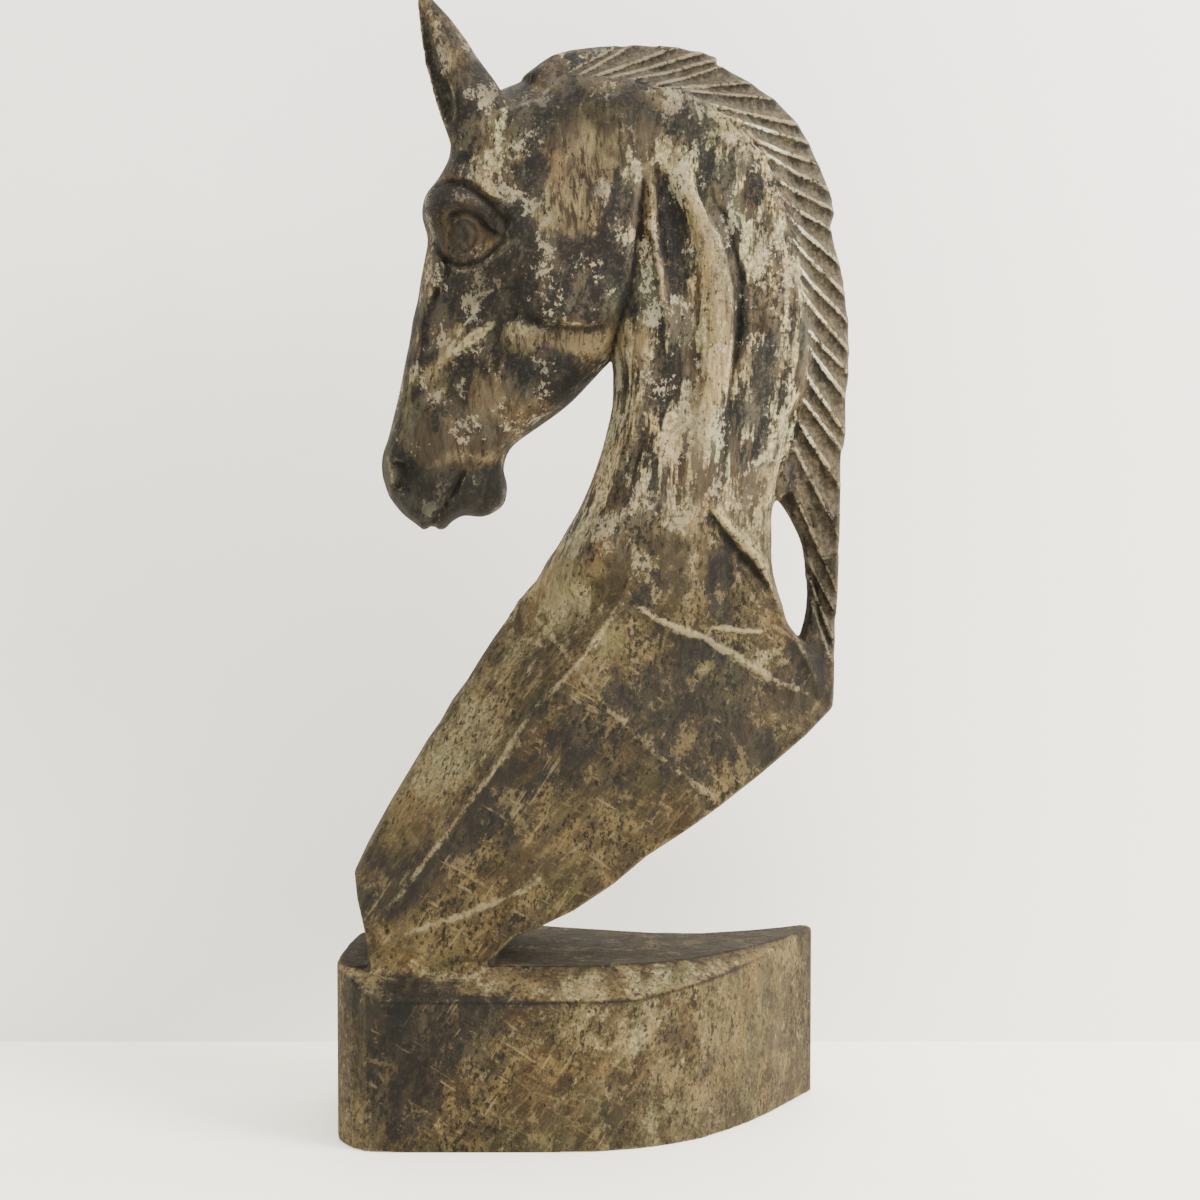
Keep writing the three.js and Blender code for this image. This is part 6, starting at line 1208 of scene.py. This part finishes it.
    # more whitewash where the surface stands proud, less in hollows: partly wear, partly painted highlight and painted
    # shade
    pv = M("ADD", pv, M("MULTIPLY", proud, 0.40))
    pv = M("SUBTRACT", pv, M("MULTIPLY", hollow, 0.55))
    some = M("ADD", 0.22, M("MULTIPLY", low, 0.70))
    pmask = g.blend(some, g.ramp(pv, 0.46, 0.57), g.ramp(pv, 0.30, 0.72))
    pcol = g.mix(g.ramp(off(fine, 4.0), -0.45, 0.45), srgb(140, 124, 86), srgb(202, 190, 152))
    pcol = g.mix(M("MULTIPLY", low, 0.55), pcol, g.mix(g.ramp(fine, 0.42, 0.58), srgb(88, 75, 44), srgb(128, 112, 68)))
    pcol = g.mix(g.ramp(tan, 0.7, 1.3), pcol, g.mix(g.ramp(grain2, 0.44, 0.56), srgb(126, 108, 72), srgb(166, 148, 106)))
    col = g.mix(M("MULTIPLY", pmask, M("SUBTRACT", 0.94, M("MULTIPLY", calm, 0.35))), wood, pcol)

    crack = g.noise(g.stretch(co, (1, 1, 6), turn=(0, -6, 0), shift=(0.6, 0.9, 0.3)), 290, 5, 0.72, 0.4)
    crack = M("MULTIPLY", g.ramp(crack, 0.44, 0.38), pmask)
    col = g.mix(M("MULTIPLY", crack, 0.70), col, srgb(74, 62, 44))

    # charcoal paint on top of both
    dv = cover(dark, 1.15, 2.7, 2.0, 1.25)
    # more charcoal in hollows, less where the surface stands proud: partly wear, partly painted shade and painted
    # highlight
    dv = M("ADD", dv, M("MULTIPLY", hollow, 0.55))
    dv = M("SUBTRACT", dv, M("MULTIPLY", proud, 0.45))
    dmask = g.blend(some, g.ramp(dv, 0.46, 0.54), g.ramp(dv, 0.30, 0.66))
    dcol = g.mix(g.ramp(off(soft2, 3.0), -0.3, 0.3), srgb(9, 8, 7), srgb(30, 28, 25))
    dcol = g.mix(g.ramp(fine, 0.53, 0.60), dcol, srgb(60, 54, 46))
    dcol = g.mix(M("MULTIPLY", low, M("SUBTRACT", 0.6, M("MULTIPLY", plinth, 0.3))), dcol, srgb(38, 31, 23))
    col = g.mix(M("MULTIPLY", dmask, M("SUBTRACT", 0.95, M("MULTIPLY", calm, 0.22))), col, dcol)
    # brown stain around the charcoal
    halo = M("MULTIPLY", g.ramp(dv, 0.22, 0.48), M("SUBTRACT", 1.0, dmask))
    col = g.mix(M("MULTIPLY", halo, 0.42), col, srgb(54, 43, 31))

    # grey brown smears over both
    smear = g.noise(g.stretch(co, (1, 1, 2.6), turn=(0, 14, 0), shift=(0.8, 0.3, 0.5)), 70, 6, 0.7)
    col = g.mix(M("MULTIPLY", M("MULTIPLY", g.ramp(smear, 0.49, 0.60), 0.50), M("SUBTRACT", 1.0, M("MULTIPLY", calm, 0.8))), col, g.mix(low, srgb(104, 94, 77), srgb(88, 76, 54)))

    # light flecks in the dark, dark pits in the light
    fl = M("MULTIPLY", g.ramp(M("ADD", fleck, off(soft2, 2.0)), 0.66, 0.70), M("SUBTRACT", 1.0, M("MULTIPLY", mane, 0.6)))
    col = g.mix(M("MULTIPLY", M("MULTIPLY", fl, 0.80), M("SUBTRACT", 1.0, M("MULTIPLY", calm, 0.9))), col, g.mix(low, srgb(176, 164, 136), srgb(126, 107, 72)))
    speck = g.noise(g.stretch(co, (1, 1, 1.8), turn=(0, 12, 0), shift=(0.2, 0.8, 0.6)), 420, 4, 0.68)
    col = g.mix(M("MULTIPLY", g.ramp(M("ADD", speck, off(soft, 0.5)), 0.585, 0.625), 0.85), col, srgb(24, 20, 16))
    pores = g.n("ShaderNodeTexVoronoi", feature="F1")
    g.link(g.stretch(co, (1, 1, 1.5), turn=(0, 30, 0)), pores.inputs["Vector"])
    pores.inputs["Scale"].default_value = 300
    pore = M("MULTIPLY", g.ramp(pores.outputs["Distance"], 0.34, 0.16), g.ramp(soft2, 0.50, 0.56))
    pore = M("MULTIPLY", pore, M("ADD", M("MULTIPLY", low, 0.75), 0.05))
    col = g.mix(M("MULTIPLY", pore, 0.8), col, srgb(26, 21, 16))

    # stains: reddish brown in places, grey green in others
    tint = g.noise(g.stretch(co, (1, 1, 1.3), turn=(0, 35, 0), shift=(0.4, 0.6, 0.1)), 38, 5, 0.66)
    col = g.mix(M("MULTIPLY", g.ramp(tint, 0.52, 0.62), 0.75), col, (1.05, 0.93, 0.82, 1.0), "MULTIPLY")
    col = g.mix(M("MULTIPLY", g.ramp(tint, 0.48, 0.38), 0.75), col, (0.84, 0.97, 0.92, 1.0), "MULTIPLY")
    shade = g.noise(g.stretch(co, (1, 1, 1.5), turn=(0, -30, 0), shift=(0.1, 0.3, 0.8)), 95, 6, 0.7)
    col = g.mix(M("MULTIPLY", g.ramp(shade, 0.48, 0.36), 0.62), col, (0.50, 0.48, 0.46, 1.0), "MULTIPLY")
    # long thin scratches, and the light edges of the facets and rims, partly worn paint and partly painted highlight
    cut1 = g.noise(g.stretch(co, (1, 1, 16), turn=(0, 33, 0), shift=(0.5, 0.1, 0.2)), 330, 3, 0.6)
    cut2 = g.noise(g.stretch(co, (1, 1, 16), turn=(0, -58, 0), shift=(0.2, 0.1, 0.9)), 300, 3, 0.6)
    lines = M("MULTIPLY", M("MAXIMUM", g.ramp(cut1, 0.615, 0.66), g.ramp(cut2, 0.625, 0.67)), M("MULTIPLY", low, g.ramp(soft2, 0.46, 0.56)))
    col = g.mix(M("MULTIPLY", lines, 0.55), col, srgb(140, 122, 86))
    worn_and_lit_edge = g.ramp(M("ADD", edge, M("ADD", off(fine, 2.6), M("ADD", off(soft2, 2.4), off(soft, 1.6)))), 0.32, 0.84)
    worn_and_lit_edge = M("MULTIPLY", M("MULTIPLY", worn_and_lit_edge, g.ramp(edge, 0.08, 0.60)), 0.80)
    # the mane: brown channels with a painted shadow just below each ridge, pale ridges between them, partly whitewash
    # and partly painted highlight
    ridge, channel, shadow_below_ridge = g.attr("ridge"), g.attr("channel"), g.attr("shadow_below_ridge")
    bare = g.ramp(M("ADD", channel, M("ADD", off(soft2, 2.4), off(fine, 1.6))), 0.38, 0.62)
    # painted shadow: darker just below each ridge of the mane
    shadow = g.ramp(M("ADD", shadow_below_ridge, M("ADD", off(soft2, 2.0), off(grain2, 1.6))), 0.25, 1.05)
    col = g.mix(M("MULTIPLY", bare, g.ramp(mane, 0.2, 0.6)), col, g.mix(shadow, g.mix(g.ramp(fine, 0.42, 0.60), srgb(70, 61, 47), srgb(104, 93, 72)), g.mix(g.ramp(fine, 0.45, 0.60), srgb(30, 26, 20), srgb(58, 50, 38))))
    # pale lines along the mane's ridges: partly whitewash, partly painted highlight
    tips = g.ramp(M("ADD", ridge, M("ADD", off(fine, 3.4), off(soft2, 3.0))), 0.42, 0.80)
    tips = M("MULTIPLY", tips, g.ramp(ridge, 0.08, 0.45))
    col = g.mix(M("MULTIPLY", tips, 0.85), col, g.mix(g.ramp(pale, 0.08, 0.40), srgb(142, 128, 100), srgb(214, 206, 180)))
    col = g.mix(worn_and_lit_edge, col, g.mix(low, srgb(170, 157, 128), srgb(144, 130, 99)))
    # dark lines: scored lines and painted shadow along rims and ridges
    col = g.mix(M("MULTIPLY", scored_and_shadow_line, 0.8), col, srgb(30, 25, 19))

    # dirt and painted shade in the deepest cuts; rubbed edges lightened, partly worn paint and partly painted highlight
    col = g.mix(M("MULTIPLY", g.ramp(hollow, 0.18, 0.75), 0.80), col, srgb(18, 15, 12))
    rub_and_highlight = M("MULTIPLY", g.ramp(proud, 0.10, 0.45), g.ramp(M("ADD", off(fine, 4.0), 0.5), 0.15, 0.6))
    col = g.mix(M("MULTIPLY", M("MULTIPLY", rub_and_highlight, 0.62), lively), col, srgb(176, 156, 120))
    # darker where the tone patches lie: partly the paint's own tone, partly painted shade
    col = g.mix(g.attr("tone_and_shade"), col, (0.0, 0.0, 0.0, 1.0), "MULTIPLY")
    col = g.mix(1.0, col, (DEPTH, DEPTH, DEPTH, 1.0), "MULTIPLY")

    # height: grain, flaked layers, tool marks, pits
    h = M("MULTIPLY", grain, 0.35)
    h = M("ADD", h, M("MULTIPLY", grain2, 0.7))
    h = M("ADD", h, M("MULTIPLY", fine, 0.9))
    h = M("ADD", h, M("MULTIPLY", M("MULTIPLY", M("ADD", cross, cross2), low), 1.2))
    h = M("ADD", h, M("MULTIPLY", dmask, 0.16))
    h = M("ADD", h, M("MULTIPLY", pmask, 0.16))
    h = M("SUBTRACT", h, M("MULTIPLY", pore, 0.5))
    bump = g.n("ShaderNodeBump")
    bump.inputs["Strength"].default_value = 0.75
    bump.inputs["Distance"].default_value = 0.0014
    g.link(h, bump.inputs["Height"])

    r = M("ADD", 0.66, M("MULTIPLY", fine, 0.30))
    r = M("SUBTRACT", r, M("MULTIPLY", dmask, 0.10))
    b = g.n("ShaderNodeBsdfPrincipled")
    g.link(col, b.inputs["Base Color"])
    g.link(r, b.inputs["Roughness"])
    b.inputs["Specular IOR Level"].default_value = 0.20
    g.link(bump.outputs["Normal"], b.inputs["Normal"])
    out = g.n("ShaderNodeOutputMaterial")
    g.link(b.outputs["BSDF"], out.inputs["Surface"])
    return mat


me.materials.clear()
me.materials.append(worn_paint_and_painted_light())
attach(horse, "root")
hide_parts("horse_head_and_plinth")


# ------------------------------------------------ stage, light and camera
def plain(name, colour, rough, glow=0.0):
    mat = bpy.data.materials.new(name)
    mat.use_nodes = True
    b = mat.node_tree.nodes["Principled BSDF"]
    b.inputs["Base Color"].default_value = colour
    b.inputs["Roughness"].default_value = rough
    b.inputs["Emission Color"].default_value = colour
    b.inputs["Emission Strength"].default_value = glow
    return mat


def seen_through_from_behind(mat):
    """the wall hides nothing from a viewer who stands behind it"""
    t = mat.node_tree
    out = t.nodes["Material Output"]
    pick = t.nodes.new("ShaderNodeMixShader")
    clear = t.nodes.new("ShaderNodeBsdfTransparent")
    side = t.nodes.new("ShaderNodeNewGeometry")
    t.links.new(side.outputs["Backfacing"], pick.inputs[0])
    t.links.new(t.nodes["Principled BSDF"].outputs["BSDF"], pick.inputs[1])
    t.links.new(clear.outputs["BSDF"], pick.inputs[2])
    t.links.new(pick.outputs["Shader"], out.inputs["Surface"])
    return mat


def sheet_mesh(name, pts, mat):
    m = bpy.data.meshes.new(name)
    m.from_pydata(pts, [], [tuple(range(len(pts)))])
    m.materials.append(mat)
    o = bpy.data.objects.new(name, m)
    bpy.context.scene.collection.objects.link(o)
    return o


floor = sheet_mesh("floor", [(-3, -3, 0), (3, -3, 0), (3, 3, 0), (-3, 3, 0)], plain("floor_white", srgb(255, 252, 236), 0.55, 0.50))
wall = sheet_mesh("wall", [(-3, 0.17, 0), (3, 0.17, 0), (3, 0.17, 3), (-3, 0.17, 3)], seen_through_from_behind(plain("wall_white", srgb(253, 250, 244), 0.9, 0.14)))


def area(name, loc, look, size, power, colour):
    l = bpy.data.lights.new(name, "AREA")
    l.shape = "RECTANGLE"
    l.size, l.size_y = size
    l.energy = power
    l.color = colour
    o = bpy.data.objects.new(name, l)
    bpy.context.scene.collection.objects.link(o)
    o.location = loc
    d = [look[i] - loc[i] for i in range(3)]
    o.rotation_euler = Vector(d).to_track_quat("-Z", "Y").to_euler()
    return o


area("key", (1.8, -0.95, 1.45), (0, 0, 0.3), (1.0, 1.0), 121, (1.0, 0.985, 0.96))
area("fill", (-1.8, -1.6, 1.0), (0, 0, 0.3), (1.6, 1.6), 6, (0.95, 0.975, 1.0))
area("top", (0.2, -0.5, 2.2), (0, 0.05, 0.2), (1.6, 1.2), 43, (1.0, 0.995, 0.98))
world = bpy.data.worlds.new("studio")
bpy.context.scene.world = world
world.use_nodes = True
world.node_tree.nodes["Background"].inputs["Color"].default_value = (0.95, 0.97, 1.0, 1)
world.node_tree.nodes["Background"].inputs["Strength"].default_value = 0.72

cam = bpy.data.cameras.new("camera")
cam.sensor_width = 36.0
cam.lens = LENS
cam_obj = bpy.data.objects.new("camera", cam)
bpy.context.scene.collection.objects.link(cam_obj)
cam_obj.location = ((EYE[0] - CENTRE[0]) / 1000, (EYE[1] - CENTRE[1]) / 1000, EYE[2] / 1000)
cam_obj.rotation_euler = (math.radians(90 - PITCH), 0, 0)
bpy.context.scene.camera = cam_obj
